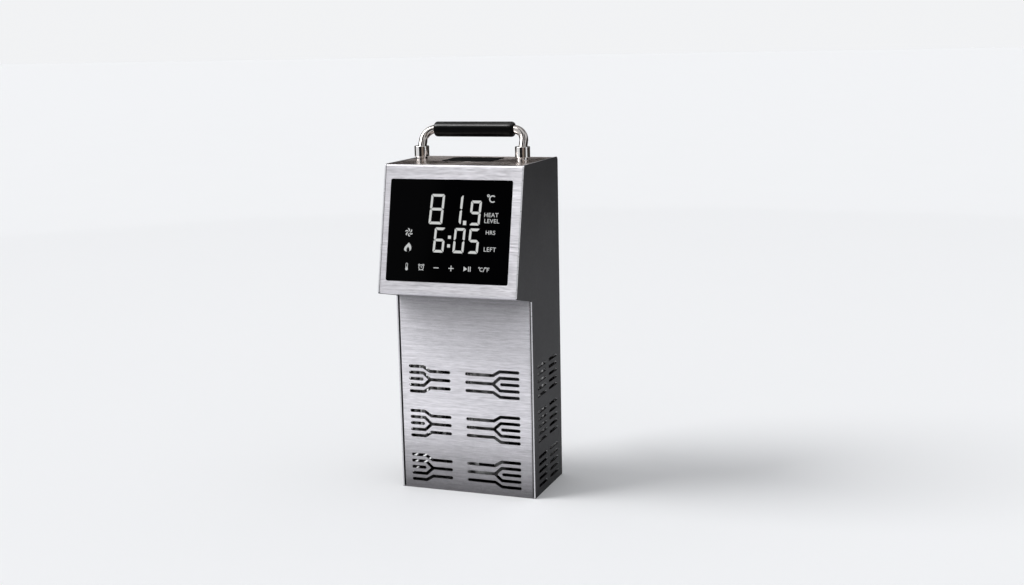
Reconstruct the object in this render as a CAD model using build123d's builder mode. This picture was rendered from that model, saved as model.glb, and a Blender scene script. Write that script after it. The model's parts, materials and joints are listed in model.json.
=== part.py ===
import os
from math import cos, hypot, radians, sin, sqrt, tan

from build123d import *

# Sous vide circulator: a folded steel case with a leaning display head, a slotted wet end and a wall clamp.
# Millimetres and degrees. The origin is the centre of the base, +Z is up and the display faces -Y.

# Case
case_width = 160.0  # across the side plates
case_depth = 95.0  # lower body, front to back
junction_height = 222.0  # where the chin meets the front panel
head_height = 148.0  # junction to the top
head_reach = 47.0  # lower edge of the display face ahead of the front panel
bezel_tilt = 12.5  # lean of the display face
sheet = 1.5
plate_lip = 0.5  # side plate edges stand this far proud of the sheets between them
weld_gap = 0.3  # sheet edge to side plate
fit_gap = 0.2  # between pieces that are pushed together
turn_gap = 0.05  # radial, shaft to bearing
press_gap = 0.02  # radial, hub on its own shaft
bend_radius = 2.5
rear_bend_radius = 4.0
plate_corner = 1.0
wrap_return = 14.0  # fold of the wrap down the back
flange_depth = 12.0
panel_overlap = 6.0  # front panel behind the chin
rail_leg = 14.0
rail_end_gap = 6.0
base_flange = 6.0
base_slot_length = 30.0
base_slot_width = 4.0
base_slot_pitch = 10.0
base_slot_rows = 6
base_slot_spacing = 84.0

# Vents
slot_width = 3.6
slot_pitch = 7.2
vent_axis = 127.5  # height of the top group
vent_spacing = 51.5
vent_groups = 3
vent_spread = 9.5  # outer long slots from the group's axis
vent_margin_left = 12.0
vent_margin_right = 16.2
vent_left_short = 17.6
vent_left_long = 24.4
vent_right_short = 23.0
vent_right_long = 33.0
vent_step = 8.0  # run of the slanting stretch
vent_tongue_gap = 2.0  # middle slot stops short of the fork
side_slot_length = 28.0
side_slot_pitch = 8.2
side_slot_rows = 5
side_slot_columns = 2
side_slot_spacing = 38.0
side_slot_rise = 2.0  # side groups over the front ones

# Display
glass_margin_left = 8.4  # case side to glass
glass_margin_right = 11.6
glass_margin_top = 15.8  # brow to glass, along the display face
glass_margin_bottom = 14.2
glass_thickness = 3.0
glass_corner = 2.0
glass_recess = 0.3
glass_gap = 0.3
frame_border = 6.6  # display frame above and below the glass
frame_ledge = 3.0  # ledge behind the glass
frame_depth = 10.0
gasket_thickness = 0.8
board_thickness = 1.6
board_inset = 0.5
stud_radius = 1.5
stud_nut_flats = 5.5
stud_nut_height = 2.4

# Handle
handle_inset = 20.5  # ferrules from the case's sides
handle_set_back = 53.0  # ferrules behind the upper edge of the display face
handle_height = 33.8  # grip axis over the top
handle_bend = 14.0
handle_lean = 10.5  # grip axis behind the ferrules
handle_lean_start = 12.0  # height at which the rod turns back
handle_lean_bend = 8.0
rod_radius = 4.75
grip_radius = 8.5
grip_length = 94.0
grip_gap = 0.15
grip_round = 3.4
ferrule_radius = 8.2
ferrule_height = 12.0
ferrule_foot_radius = 6.6
ferrule_foot_height = 4.0
ferrule_round = 0.6
handle_screw_radius = 3.0
handle_screw_grip = 8.0  # length in the rod
handle_head_radius = 5.5
handle_head_height = 4.0

# Wet end
bulkhead_drop = 18.0  # below the junction
bulkhead_wall = 12.0
shaft_radius = 4.0
shaft_foot = 24.0
seal_radius = 12.0
seal_height = 6.0
seal_round = 1.5
seal_spigot = 7.8
column_radius = 12.0
column_bore = 8.5
column_foot = 58.0
column_flange_radius = 22.0
column_flange_height = 3.0
bush_height = 14.0
cage_radius = 30.0
cage_wall = 2.0
cage_foot = 12.0
cage_floor = 2.0
cage_eye = 17.0
cage_top = 3.0
cage_collar_height = 10.0
cage_collar_wall = 3.0
cage_windows = 6
cage_window_width = 18.0
cage_window_height = 24.0
impeller_radius = 25.0
impeller_disc = 2.0
impeller_drop = 13.0  # disc below the cage's top
blade_height = 12.0
blade_thickness = 1.6
blade_count = 6
blade_lean = 24.0  # tip behind the root
hub_radius = 8.0
hub_height = 18.0
nut_flats = 13.0
nut_height = 6.5
element_radius = 4.0
element_inset = 13.0  # from the case's sides
element_pitch = 24.0
element_legs = 4
element_foot = 40.0
element_loop_drop = 54.0  # inner loop below the bulkhead
element_stub = 14.0
element_bend = 11.9
element_nut_flats = 12.0
element_nut_height = 6.0
probe_radius = 3.0
probe_tip_round = 2.7
probe_inset = 14.0  # from the front panel
probe_length = 134.0  # below the bulkhead
level_radius = 2.0
level_spacing = 20.0
level_inset = 15.0  # from the rear cover
level_length_long = 94.0
level_length_short = 54.0
probe_stub = 12.0
probe_nut_flats = 12.0
probe_nut_height = 5.0

# Pump motor
post_spacing = 52.0
post_radius = 4.0
post_height = 28.0
motor_plate_size = 68.0
motor_plate_corner = 6.0
motor_plate_thickness = 3.0
motor_radius = 25.0
motor_height = 50.0
motor_cap_height = 9.0
motor_cap_step = 3.0
motor_boss_radius = 11.0
motor_bore_depth = 40.0

# Electronics
spacer_length = 8.0
spacer_radius = 3.0
power_board_width = 76.0
power_board_height = 96.0
power_board_y = -10.0
power_board_drop = 73.0  # centre below the top
spacer_inset = 5.0
transformer_width = 38.0
transformer_height = 33.0
transformer_depth = 30.0
transformer_chamfer = 1.9
terminal_width = 36.0
terminal_height = 12.0
terminal_depth = 14.0
terminal_ways = 4
capacitor_radius = 9.0
capacitor_length = 26.0
capacitor_round = 1.5
part_margin = 6.0  # components from the board's edge
sink_width = 56.0
sink_height = 80.0
sink_base = 4.0
sink_fin_reach = 20.0
sink_fin_thickness = 1.6
sink_fins = 8
sink_fin_height = 42.0
sink_drop = 68.0  # centre below the top
module_width = 45.0
module_height = 30.0
module_depth = 20.0
module_chamfer = 2.0

# Cooling fan
fan_size = 60.0
fan_depth = 20.0
fan_drop = 50.0  # axis below the top
fan_corner = 4.0
fan_bore = 28.0
fan_holes = 50.0
fan_screw_radius = 2.0
fan_screw_spare = 2.5  # past the frame
fan_boss_radius = 12.0
fan_boss_height = 5.0
fan_strut = 4.0
fan_hub_radius = 13.0
fan_hub_height = 11.0
fan_blades = 7
fan_blade_thickness = 1.4
fan_blade_root = 2.6  # blades reach this far into the hub
fan_tip_gap = 1.5
fan_hub_gap = 0.5
fan_axle_radius = 2.0
fan_pitch_root = 48.0
fan_pitch_tip = 30.0
grille_pitch = 6.4
grille_slot = 3.2
grille_rows = 8

# Cover screws
screw_radius = 1.5
screw_head_radius = 3.0
screw_head_height = 2.0
screw_head_chamfer = 0.5
screw_socket_flats = 2.0
screw_socket_depth = 1.2
cover_screw_low = 16.0
cover_screw_high_gap = 16.0
cover_screw_rows = 4

# Cord gland
gland_inset = 30.0  # from the case's right side
gland_rise = 30.0  # over the junction
gland_bore = 4.2
gland_thread_radius = 8.0
gland_thread_length = 12.0
gland_flats = 22.0
gland_hex_height = 6.0
gland_dome_radius = 10.0
gland_dome_height = 15.0
gland_dome_round = 3.0
gland_lock_height = 5.0

# Mains switch
switch_inset = 32.0  # from the case's left side
switch_rise = 30.0  # over the junction
switch_width = 22.0
switch_height = 28.0
switch_depth = 20.0
switch_flange = 2.0
switch_flange_rim = 1.6
switch_flange_chamfer = 0.5
switch_wall = 1.8
rocker_gap = 0.6
rocker_angle = 9.0
rocker_pivot_depth = 4.0
rocker_pin_radius = 2.0
rocker_pin_length = 1.0
rocker_half_length = 10.6
rocker_edge_rise = 7.5
rocker_dip = 2.2
rocker_belly = 5.0

# Wall clamp
strap = 3.0
strap_width = 44.0
strap_corner = 8.0
strap_bend = 6.0
clamp_arm_rise = 16.0  # over the junction
clamp_inner_drop = 52.0  # foot of the inner leg below the arm
clamp_outer_drop = 64.0
clamp_axis_drop = 46.0
clamp_fix_drop = 14.0
clamp_fix_spacing = 26.0
clamp_fix_radius = 2.5
clamp_fix_head = 5.0
countersink_angle = 45.0
clamp_nut_flats = 8.0
clamp_nut_height = 4.0
jaw_open = 22.0
thread_pitch = 1.5
jaw_turns = 12  # of the hand screw, from open to closed
pad_radius = 14.0
pad_thickness = 7.0
pad_socket = 4.0
pad_round = 1.5
pad_back_gap = 3.0
boss_radius = 10.0
boss_height = 8.0
clamp_screw_radius = 5.0
clamp_screw_chamfer = 0.6
knob_radius = 17.0
knob_length = 18.0
knob_lobes = 6
knob_scallop = 5.0
knob_scallop_reach = 19.5
knob_round = 2.0
knob_stop_gap = 1.0
knob_bore_depth = 13.0

# Worked-out places
tilt = radians(bezel_tilt)
half_width = case_width / 2
inner_half = half_width - sheet
wrap_half = inner_half - weld_gap
front_y = -case_depth / 2
rear_y = case_depth / 2
panel_y = front_y + plate_lip
cover_y = rear_y - plate_lip
cover_inner_y = cover_y - sheet
top_z = junction_height + head_height
top_face = top_z - plate_lip
top_inside = top_face - sheet
chin_y = front_y - head_reach
chin_z = junction_height + head_reach * tan(tilt)
brow_y = chin_y + (top_z - chin_z) * tan(tilt)
wrap_brow_y = brow_y + plate_lip * (1 - sin(tilt)) / cos(tilt)
wrap_chin_y = chin_y + plate_lip * (cos(tilt) + sin(tilt))
wrap_chin_z = chin_z + plate_lip * (cos(tilt) - sin(tilt))
wrap_end_y = panel_y - weld_gap - sheet * sin(tilt)
wrap_end_z = wrap_chin_z - (wrap_end_y - wrap_chin_y) * tan(tilt)
cover_top = top_z - wrap_return - weld_gap
bulkhead_height = junction_height - bulkhead_drop
bulkhead_top = bulkhead_height + sheet
element_x = half_width - element_inset
element_top = bulkhead_height - element_loop_drop
probe_y = panel_y + probe_inset
level_y = cover_y - level_inset
motor_plate_z = bulkhead_top + post_height
motor_z = motor_plate_z + motor_plate_thickness
cage_height = column_foot - cage_top - cage_foot
impeller_z = column_foot - cage_top - impeller_drop
bezel_plane = Plane(
    origin=(0, (wrap_brow_y + wrap_chin_y) / 2, (top_face + wrap_chin_z) / 2),
    x_dir=(1, 0, 0),
    z_dir=(0, -cos(tilt), sin(tilt)),
)
bezel_height = hypot(wrap_brow_y - wrap_chin_y, top_face - wrap_chin_z)
glass_width = case_width - glass_margin_left - glass_margin_right
glass_height = bezel_height - glass_margin_top - glass_margin_bottom
glass_spot = ((glass_margin_left - glass_margin_right) / 2, (glass_margin_bottom - glass_margin_top) / 2)
handle_y = brow_y + handle_set_back
handle_half = half_width - handle_inset
handle_spacing = 2 * handle_half
handle_z = top_face + handle_height
jaw_y = cover_y + strap
jaw_travel = thread_pitch * jaw_turns
pad_y = jaw_y + jaw_open
clamp_outer_y = pad_y + pad_thickness + pad_back_gap + strap
boss_end_y = clamp_outer_y + boss_height
knob_y = boss_end_y + jaw_travel + knob_stop_gap
screw_tip_y = pad_y + pad_thickness - pad_socket + fit_gap
rocker_y = cover_y - rocker_pivot_depth
gland_x = half_width - gland_inset
gland_z = junction_height + gland_rise
switch_x = switch_inset - half_width
switch_z = junction_height + switch_rise
fan_z = top_z - fan_drop
power_board_z = top_z - power_board_drop
sink_z = top_z - sink_drop
clamp_arm_height = junction_height + clamp_arm_rise
clamp_inner_foot = clamp_arm_height - clamp_inner_drop
clamp_outer_foot = clamp_arm_height - clamp_outer_drop
clamp_axis = clamp_arm_height - clamp_axis_drop
clamp_fix_height = clamp_arm_height - clamp_fix_drop


def facing_front(y):
    # Upright plane seen from the front: a negative extrusion runs towards the back.
    return Plane.XZ.offset(-y)


def save(part, name):
    part.label = name
    export_step(part, f"parts/{name}.step")


def vent_heights():
    return [vent_axis - vent_spacing * group for group in range(vent_groups)]


def row_offsets(rows, pitch):
    return [pitch * (row - (rows - 1) / 2) for row in range(rows)]


def ring(radius, bore, height):
    Cylinder(radius, height, align=(Align.CENTER, Align.CENTER, Align.MIN))
    Cylinder(bore, height, align=(Align.CENTER, Align.CENTER, Align.MIN), mode=Mode.SUBTRACT)


def glass_outline(gap, mode=Mode.ADD):
    RectangleRounded(glass_width + 2 * gap, glass_height + 2 * gap, glass_corner + gap, mode=mode)


os.makedirs("parts", exist_ok=True)


# Side plates
def side_plate(name, x):
    with BuildPart() as plate:
        with BuildSketch(Plane.YZ.offset(x)):
            with BuildLine():
                FilletPolyline(
                    (rear_y, 0),
                    (rear_y, top_z),
                    (brow_y, top_z),
                    (chin_y, chin_z),
                    (front_y, junction_height),
                    (front_y, 0),
                    close=True,
                    radius=[
                        plate_corner,
                        rear_bend_radius,
                        bend_radius,
                        bend_radius,
                        plate_corner,
                        plate_corner,
                    ],
                )
            make_face()
            for height in vent_heights():
                with Locations((0, height + side_slot_rise)):
                    with GridLocations(side_slot_spacing, side_slot_pitch, side_slot_columns, side_slot_rows):
                        SlotOverall(side_slot_length, slot_width, mode=Mode.SUBTRACT)
        extrude(amount=sheet)
    save(plate.part, name)


side_plate("side_plate_left", -half_width)
side_plate("side_plate_right", inner_half)

# Head wrap: back fold, top, display face and chin from one sheet
with BuildPart() as head_wrap:
    with BuildSketch(Plane.YZ.offset(-wrap_half)):
        with BuildLine():
            FilletPolyline(
                (cover_y, top_z - wrap_return),
                (cover_y, top_face),
                (wrap_brow_y, top_face),
                (wrap_chin_y, wrap_chin_z),
                (wrap_end_y, wrap_end_z),
                radius=[rear_bend_radius, bend_radius, bend_radius],
            )
            offset(amount=sheet, side=Side.LEFT)
        make_face()
    extrude(amount=2 * wrap_half)
    with BuildSketch(bezel_plane):
        with Locations(glass_spot):
            glass_outline(glass_gap)
    extrude(amount=-2 * sheet, mode=Mode.SUBTRACT)
    with BuildSketch(Plane.XY.offset(top_face)):
        with Locations((0, handle_y)):
            with GridLocations(handle_spacing, 0, 2, 1):
                Circle(handle_screw_radius + fit_gap)
    extrude(amount=-2 * sheet, mode=Mode.SUBTRACT)
save(head_wrap.part, "head_wrap")


# Front panel with its forked slots
def vent_column(outer_x, way, short, long, height):
    # way is 1 where the short slots start at the left, -1 where they start at the right
    end = slot_width / 2
    fork = short
    join = short + vent_step
    far = short + vent_step + long - end

    def slot(*points):
        with BuildLine(mode=Mode.PRIVATE) as centre_line:
            Polyline(*[(outer_x + way * run, height + rise) for run, rise in points])
        SlotArc(centre_line.wires()[0], slot_width)

    for side in (-1, 1):
        far_rise = side * vent_spread
        slot((end, 2 * side * slot_pitch), (fork, 2 * side * slot_pitch), (join, far_rise), (far, far_rise))
        slot((end, side * slot_pitch), (fork, side * slot_pitch), (join, 0), (far, 0))
    slot((end, 0), (fork - vent_tongue_gap, 0))


with BuildPart() as front_panel:
    with BuildSketch(Plane.XY.offset(sheet)):
        with BuildLine():
            FilletPolyline(
                (-wrap_half, panel_y + flange_depth),
                (-wrap_half, panel_y),
                (wrap_half, panel_y),
                (wrap_half, panel_y + flange_depth),
                radius=bend_radius,
            )
            offset(amount=sheet, side=Side.LEFT)
        make_face()
    extrude(amount=junction_height + panel_overlap - sheet)
    with BuildSketch(facing_front(panel_y)):
        for vent_height in vent_heights():
            vent_column(vent_margin_left - half_width, 1, vent_left_short, vent_left_long, vent_height)
            vent_column(half_width - vent_margin_right, -1, vent_right_short, vent_right_long, vent_height)
    extrude(amount=-sheet, mode=Mode.SUBTRACT)
save(front_panel.part, "front_panel")

# Base plate
base_depth = cover_y - panel_y
base_flange_front = panel_y + flange_depth + fit_gap
base_flange_rear = cover_inner_y - rail_leg - fit_gap
with BuildPart() as base_plate:
    with BuildSketch():
        Rectangle(2 * wrap_half, base_depth)
        with GridLocations(base_slot_spacing, base_slot_pitch, 2, base_slot_rows):
            SlotOverall(base_slot_length, base_slot_width, mode=Mode.SUBTRACT)
    extrude(amount=sheet)
    with BuildSketch(Plane.XY.offset(sheet)):
        with Locations((0, (base_flange_front + base_flange_rear) / 2)):
            with GridLocations(2 * wrap_half - sheet, 0, 2, 1):
                Rectangle(sheet, base_flange_rear - base_flange_front)
    extrude(amount=base_flange)
save(base_plate.part, "base_plate")

# Rear cover, rails and cover screws
cover_screw_x = inner_half - rail_leg / 2
cover_screw_step = (cover_top - cover_screw_high_gap - cover_screw_low) / (cover_screw_rows - 1)
cover_screw_spots = [
    (side * cover_screw_x, cover_screw_low + cover_screw_step * row)
    for side in (-1, 1)
    for row in range(cover_screw_rows)
]
fan_screw_spots = [
    (fan_holes / 2 * side, fan_z + fan_holes / 2 * level)
    for side in (-1, 1)
    for level in (-1, 1)
]
clamp_fix_spots = [(clamp_fix_spacing / 2 * side, clamp_fix_height) for side in (-1, 1)]
with BuildPart() as rear_cover:
    with BuildSketch(facing_front(cover_inner_y)):
        with Locations((0, (cover_top + sheet) / 2)):
            Rectangle(2 * wrap_half, cover_top - sheet)
        with Locations(*cover_screw_spots):
            Circle(screw_radius + fit_gap, mode=Mode.SUBTRACT)
        with Locations(*fan_screw_spots):
            Circle(fan_screw_radius + fit_gap, mode=Mode.SUBTRACT)
        with Locations(*clamp_fix_spots):
            Circle(clamp_fix_radius + fit_gap, mode=Mode.SUBTRACT)
        with Locations((gland_x, gland_z)):
            Circle(gland_thread_radius + fit_gap, mode=Mode.SUBTRACT)
        with Locations((switch_x, switch_z)):
            Rectangle(switch_width + 2 * fit_gap, switch_height + 2 * fit_gap, mode=Mode.SUBTRACT)
        for rise in row_offsets(grille_rows, grille_pitch):
            with Locations((0, fan_z + rise)):
                SlotOverall(2 * sqrt(fan_bore**2 - rise**2), grille_slot, mode=Mode.SUBTRACT)
    extrude(amount=-sheet)
save(rear_cover.part, "rear_cover")


def rear_rail(name, side):
    with BuildPart() as rail:
        with BuildSketch(Plane.XY.offset(sheet)):
            with Locations((side * (inner_half - rail_leg / 2), cover_inner_y - sheet / 2)):
                Rectangle(rail_leg, sheet)
            with Locations((side * (inner_half - sheet / 2), cover_inner_y - rail_leg / 2)):
                Rectangle(sheet, rail_leg)
        extrude(amount=cover_top - rail_end_gap - sheet)
        with BuildSketch(facing_front(cover_inner_y)):
            with Locations(*[spot for spot in cover_screw_spots if spot[0] * side > 0]):
                Circle(screw_radius + press_gap)
        extrude(amount=rail_leg, mode=Mode.SUBTRACT)
    save(rail.part, name)


rear_rail("rear_rail_left", -1)
rear_rail("rear_rail_right", 1)


def pan_screws(name, spots, y, radius, length, head_radius, head_height):
    # heads outside the face at y, shanks running forward
    with BuildPart() as screws:
        with BuildSketch(facing_front(y)):
            with Locations(*spots):
                Circle(radius)
        extrude(amount=length)
        with BuildSketch(facing_front(y)):
            with Locations(*spots):
                Circle(head_radius)
        extrude(amount=-head_height)
        chamfer(screws.edges().group_by(Axis.Y)[-1], screw_head_chamfer)
        with BuildSketch(facing_front(y + head_height)):
            with Locations(*spots):
                RegularPolygon(screw_socket_flats * radius / screw_radius / 2, 6, major_radius=False)
        extrude(amount=min(screw_socket_depth, head_height / 2), mode=Mode.SUBTRACT)
    save(screws.part, name)


pan_screws(
    "rear_cover_screws",
    cover_screw_spots,
    cover_y,
    screw_radius,
    2 * sheet,
    screw_head_radius,
    screw_head_height,
)

# Display: glass in the window, gasket, frame and board behind the face
frame_width = 2 * (wrap_half - abs(glass_spot[0]))
frame_height = glass_height + 2 * frame_border
stud_grid = ((frame_width + glass_width) / 2, (frame_height + glass_height) / 2)
gasket_back = sheet + gasket_thickness
glass_back = glass_recess + glass_thickness
frame_back = gasket_back + frame_depth
board_back = frame_back + board_thickness
with BuildPart() as display_glass:
    with BuildSketch(bezel_plane.offset(-glass_back)):
        with Locations(glass_spot):
            glass_outline(0)
    extrude(amount=glass_thickness)
save(display_glass.part, "display_glass")

with BuildPart() as display_gasket:
    with BuildSketch(bezel_plane.offset(-gasket_back)):
        with Locations(glass_spot):
            Rectangle(frame_width, frame_height)
            glass_outline(glass_gap, Mode.SUBTRACT)
            with GridLocations(*stud_grid, 2, 2):
                Circle(stud_radius + fit_gap, mode=Mode.SUBTRACT)
    extrude(amount=gasket_thickness)
save(display_gasket.part, "display_gasket")

with BuildPart() as display_frame:
    with BuildSketch(bezel_plane.offset(-frame_back)):
        with Locations(glass_spot):
            Rectangle(frame_width, frame_height)
            Rectangle(glass_width - 2 * frame_ledge, glass_height - 2 * frame_ledge, mode=Mode.SUBTRACT)
            with GridLocations(*stud_grid, 2, 2):
                Circle(stud_radius + fit_gap, mode=Mode.SUBTRACT)
    extrude(amount=frame_depth)
    with BuildSketch(bezel_plane.offset(-glass_back)):
        with Locations(glass_spot):
            glass_outline(glass_gap)
    extrude(amount=glass_thickness, mode=Mode.SUBTRACT)
save(display_frame.part, "display_frame")

with BuildPart() as display_board:
    with BuildSketch(bezel_plane.offset(-board_back)):
        with Locations(glass_spot):
            Rectangle(frame_width - 2 * board_inset, frame_height - 2 * board_inset)
            with GridLocations(*stud_grid, 2, 2):
                Circle(stud_radius + fit_gap, mode=Mode.SUBTRACT)
    extrude(amount=board_thickness)
save(display_board.part, "display_board")

with BuildPart() as display_studs:
    with BuildSketch(bezel_plane.offset(-sheet)):
        with Locations(glass_spot):
            with GridLocations(*stud_grid, 2, 2):
                Circle(stud_radius)
    extrude(amount=sheet - board_back - stud_nut_height)
    with BuildSketch(bezel_plane.offset(-board_back)):
        with Locations(glass_spot):
            with GridLocations(*stud_grid, 2, 2):
                RegularPolygon(stud_nut_flats / 2, 6, major_radius=False)
    extrude(amount=-stud_nut_height)
save(display_studs.part, "display_studs")

# Handle: leaning rod with a grip sleeve, ferrules and screws from inside
def handle_bar(radius, mode=Mode.ADD):
    ferrule_line = (handle_y, top_face + handle_lean_start)
    grip_line = (handle_y + handle_lean, handle_z)
    with BuildLine() as bar_path:
        FilletPolyline(
            (-handle_half, handle_y, top_face),
            (-handle_half, *ferrule_line),
            (-handle_half, *grip_line),
            (handle_half, *grip_line),
            (handle_half, *ferrule_line),
            (handle_half, handle_y, top_face),
            radius=[handle_lean_bend, handle_bend, handle_bend, handle_lean_bend],
        )
    with BuildSketch(Plane.XY.offset(top_face)) as bar_section:
        with Locations((-handle_half, handle_y)):
            Circle(radius)
    sweep(sections=bar_section.sketch, path=bar_path.wires()[0], mode=mode)


with BuildPart() as handle_rod:
    handle_bar(rod_radius)
    with BuildSketch(Plane.XY.offset(top_face)):
        with Locations((0, handle_y)):
            with GridLocations(handle_spacing, 0, 2, 1):
                Circle(handle_screw_radius + press_gap)
    extrude(amount=handle_screw_grip, mode=Mode.SUBTRACT)
save(handle_rod.part, "handle_rod")

with BuildPart() as handle_grip:
    with BuildSketch(Plane.YZ.offset(-grip_length / 2)):
        with Locations((handle_y + handle_lean, handle_z)):
            Circle(grip_radius)
    extrude(amount=grip_length)
    fillet(handle_grip.edges(), grip_round)
    with BuildSketch(Plane.YZ.offset(-grip_length / 2)):
        with Locations((handle_y + handle_lean, handle_z)):
            Circle(rod_radius + grip_gap)
    extrude(amount=grip_length, mode=Mode.SUBTRACT)
save(handle_grip.part, "handle_grip")


def handle_ferrule(name, x):
    with BuildPart() as ferrule:
        with BuildSketch(Plane.XY.offset(top_face)):
            with Locations((x, handle_y)):
                Circle(ferrule_foot_radius)
        extrude(amount=ferrule_foot_height)
        with BuildSketch(Plane.XY.offset(top_face + ferrule_foot_height)):
            with Locations((x, handle_y)):
                Circle(ferrule_radius)
        extrude(amount=ferrule_height)
        barrel_edges = ferrule.edges().filter_by(GeomType.CIRCLE).sort_by(SortBy.RADIUS)[-2:]
        fillet(barrel_edges, ferrule_round)
        handle_bar(rod_radius + press_gap, Mode.SUBTRACT)
    save(ferrule.part, name)


handle_ferrule("handle_ferrule_left", -handle_half)
handle_ferrule("handle_ferrule_right", handle_half)

with BuildPart() as handle_screws:
    with BuildSketch(Plane.XY.offset(top_inside)):
        with Locations((0, handle_y)):
            with GridLocations(handle_spacing, 0, 2, 1):
                Circle(handle_screw_radius)
    extrude(amount=sheet + handle_screw_grip)
    with BuildSketch(Plane.XY.offset(top_inside)):
        with Locations((0, handle_y)):
            with GridLocations(handle_spacing, 0, 2, 1):
                RegularPolygon(handle_head_radius, 6)
    extrude(amount=-handle_head_height)
save(handle_screws.part, "handle_screws")

# Bulkhead tray between the wet end and the electronics
tray_half = wrap_half - sheet - fit_gap
tray_front = panel_y + sheet + fit_gap
tray_rear = cover_inner_y - sheet - fit_gap
element_rows = row_offsets(element_legs, element_pitch)
element_spots = [(side * element_x, element_rows[end]) for side in (-1, 1) for end in (0, -1)]
level_spots = [(side * level_spacing / 2, level_y) for side in (-1, 1)]
with BuildPart() as bulkhead:
    with BuildSketch(Plane.XY.offset(bulkhead_height)):
        with Locations((0, (tray_front + tray_rear) / 2)):
            Rectangle(2 * tray_half, tray_rear - tray_front)
    extrude(amount=bulkhead_wall)
    fillet(bulkhead.edges().filter_by(Axis.Z), bend_radius)
    offset(amount=-sheet, openings=bulkhead.faces().sort_by(Axis.Z)[-1])
    with BuildSketch(Plane.XY.offset(bulkhead_height)):
        Circle(seal_spigot + fit_gap)
        with Locations(*element_spots):
            Circle(element_radius + fit_gap)
        with Locations((0, probe_y)):
            Circle(probe_radius + fit_gap)
        with Locations(*level_spots):
            Circle(level_radius + fit_gap)
    extrude(amount=sheet, mode=Mode.SUBTRACT)
save(bulkhead.part, "bulkhead")

# Pump: motor on posts, long shaft in a column, impeller in a cage
with BuildPart() as motor_posts:
    with BuildSketch(Plane.XY.offset(bulkhead_top)):
        with GridLocations(post_spacing, post_spacing, 2, 2):
            RegularPolygon(post_radius, 6)
    extrude(amount=post_height)
save(motor_posts.part, "motor_posts")

with BuildPart() as motor_plate:
    with BuildSketch(Plane.XY.offset(motor_plate_z)):
        RectangleRounded(motor_plate_size, motor_plate_size, motor_plate_corner)
        Circle(motor_boss_radius + fit_gap, mode=Mode.SUBTRACT)
    extrude(amount=motor_plate_thickness)
save(motor_plate.part, "motor_plate")

with BuildPart() as pump_motor:
    with BuildSketch(Plane.XY.offset(motor_plate_z)):
        Circle(motor_boss_radius)
    extrude(amount=motor_plate_thickness)
    with BuildSketch(Plane.XY.offset(motor_z)):
        Circle(motor_radius)
    extrude(amount=motor_height - motor_cap_height)
    with BuildSketch(Plane.XY.offset(motor_z + motor_height - motor_cap_height)):
        Circle(motor_radius - motor_cap_step)
    extrude(amount=motor_cap_height)
    with BuildSketch(Plane.XY.offset(motor_plate_z)):
        Circle(shaft_radius + turn_gap)
    extrude(amount=motor_bore_depth, mode=Mode.SUBTRACT)
save(pump_motor.part, "pump_motor")

with BuildPart() as drive_shaft:
    with BuildSketch(Plane.XY.offset(shaft_foot)):
        Circle(shaft_radius)
    extrude(amount=motor_plate_z + motor_bore_depth - fit_gap - shaft_foot)
save(drive_shaft.part, "drive_shaft")

with BuildPart() as shaft_seal:
    with Locations((0, 0, bulkhead_height)):
        Cylinder(seal_spigot, sheet, align=(Align.CENTER, Align.CENTER, Align.MIN))
    with Locations((0, 0, bulkhead_top)):
        Cylinder(seal_radius, seal_height, align=(Align.CENTER, Align.CENTER, Align.MIN))
    fillet(shaft_seal.edges().group_by(Axis.Z)[-1], seal_round)
    with BuildSketch(Plane.XY.offset(bulkhead_height)):
        Circle(shaft_radius + turn_gap)
    extrude(amount=sheet + seal_height, mode=Mode.SUBTRACT)
save(shaft_seal.part, "shaft_seal")

with BuildPart() as shaft_column:
    with Locations((0, 0, column_foot)):
        ring(column_radius, column_bore, bulkhead_height - column_foot)
    with Locations((0, 0, bulkhead_height - column_flange_height)):
        ring(column_flange_radius, column_bore, column_flange_height)
save(shaft_column.part, "shaft_column")

with BuildPart() as lower_bush:
    with Locations((0, 0, column_foot)):
        ring(column_bore - press_gap, shaft_radius + turn_gap, bush_height)
save(lower_bush.part, "lower_bush")

with BuildPart() as pump_cage:
    with Locations((0, 0, cage_foot)):
        ring(cage_radius, cage_eye, cage_floor)
        ring(cage_radius, cage_radius - cage_wall, cage_height)
    with Locations((0, 0, column_foot - cage_top)):
        ring(cage_radius, column_bore, cage_top)
    with Locations((0, 0, column_foot)):
        ring(column_radius + cage_collar_wall, column_radius + press_gap, cage_collar_height)
    with PolarLocations(cage_radius, cage_windows):
        with Locations((0, 0, cage_foot + cage_height / 2)):
            Box(cage_radius, cage_window_width, cage_window_height, mode=Mode.SUBTRACT)
save(pump_cage.part, "pump_cage")

blade_reach = impeller_radius - blade_thickness
with BuildPart() as impeller:
    with BuildSketch(Plane.XY.offset(impeller_z)):
        Circle(impeller_radius)
    extrude(amount=impeller_disc)
    with BuildSketch(Plane.XY.offset(impeller_z - blade_height)):
        with BuildLine(mode=Mode.PRIVATE) as blade_line:
            TangentArc(
                (hub_radius / 2, 0),
                (blade_reach * cos(radians(blade_lean)), blade_reach * sin(radians(blade_lean))),
                tangent=(1, 0),
            )
        with PolarLocations(0, blade_count):
            SlotArc(blade_line.wires()[0], blade_thickness)
        Circle(hub_radius)
    extrude(amount=blade_height)
    with BuildSketch(Plane.XY.offset(impeller_z + impeller_disc)):
        Circle(hub_radius)
    extrude(amount=hub_height - blade_height - impeller_disc)
    with BuildSketch(Plane.XY.offset(impeller_z - blade_height)):
        Circle(shaft_radius + press_gap)
    extrude(amount=hub_height, mode=Mode.SUBTRACT)
save(impeller.part, "impeller")

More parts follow.
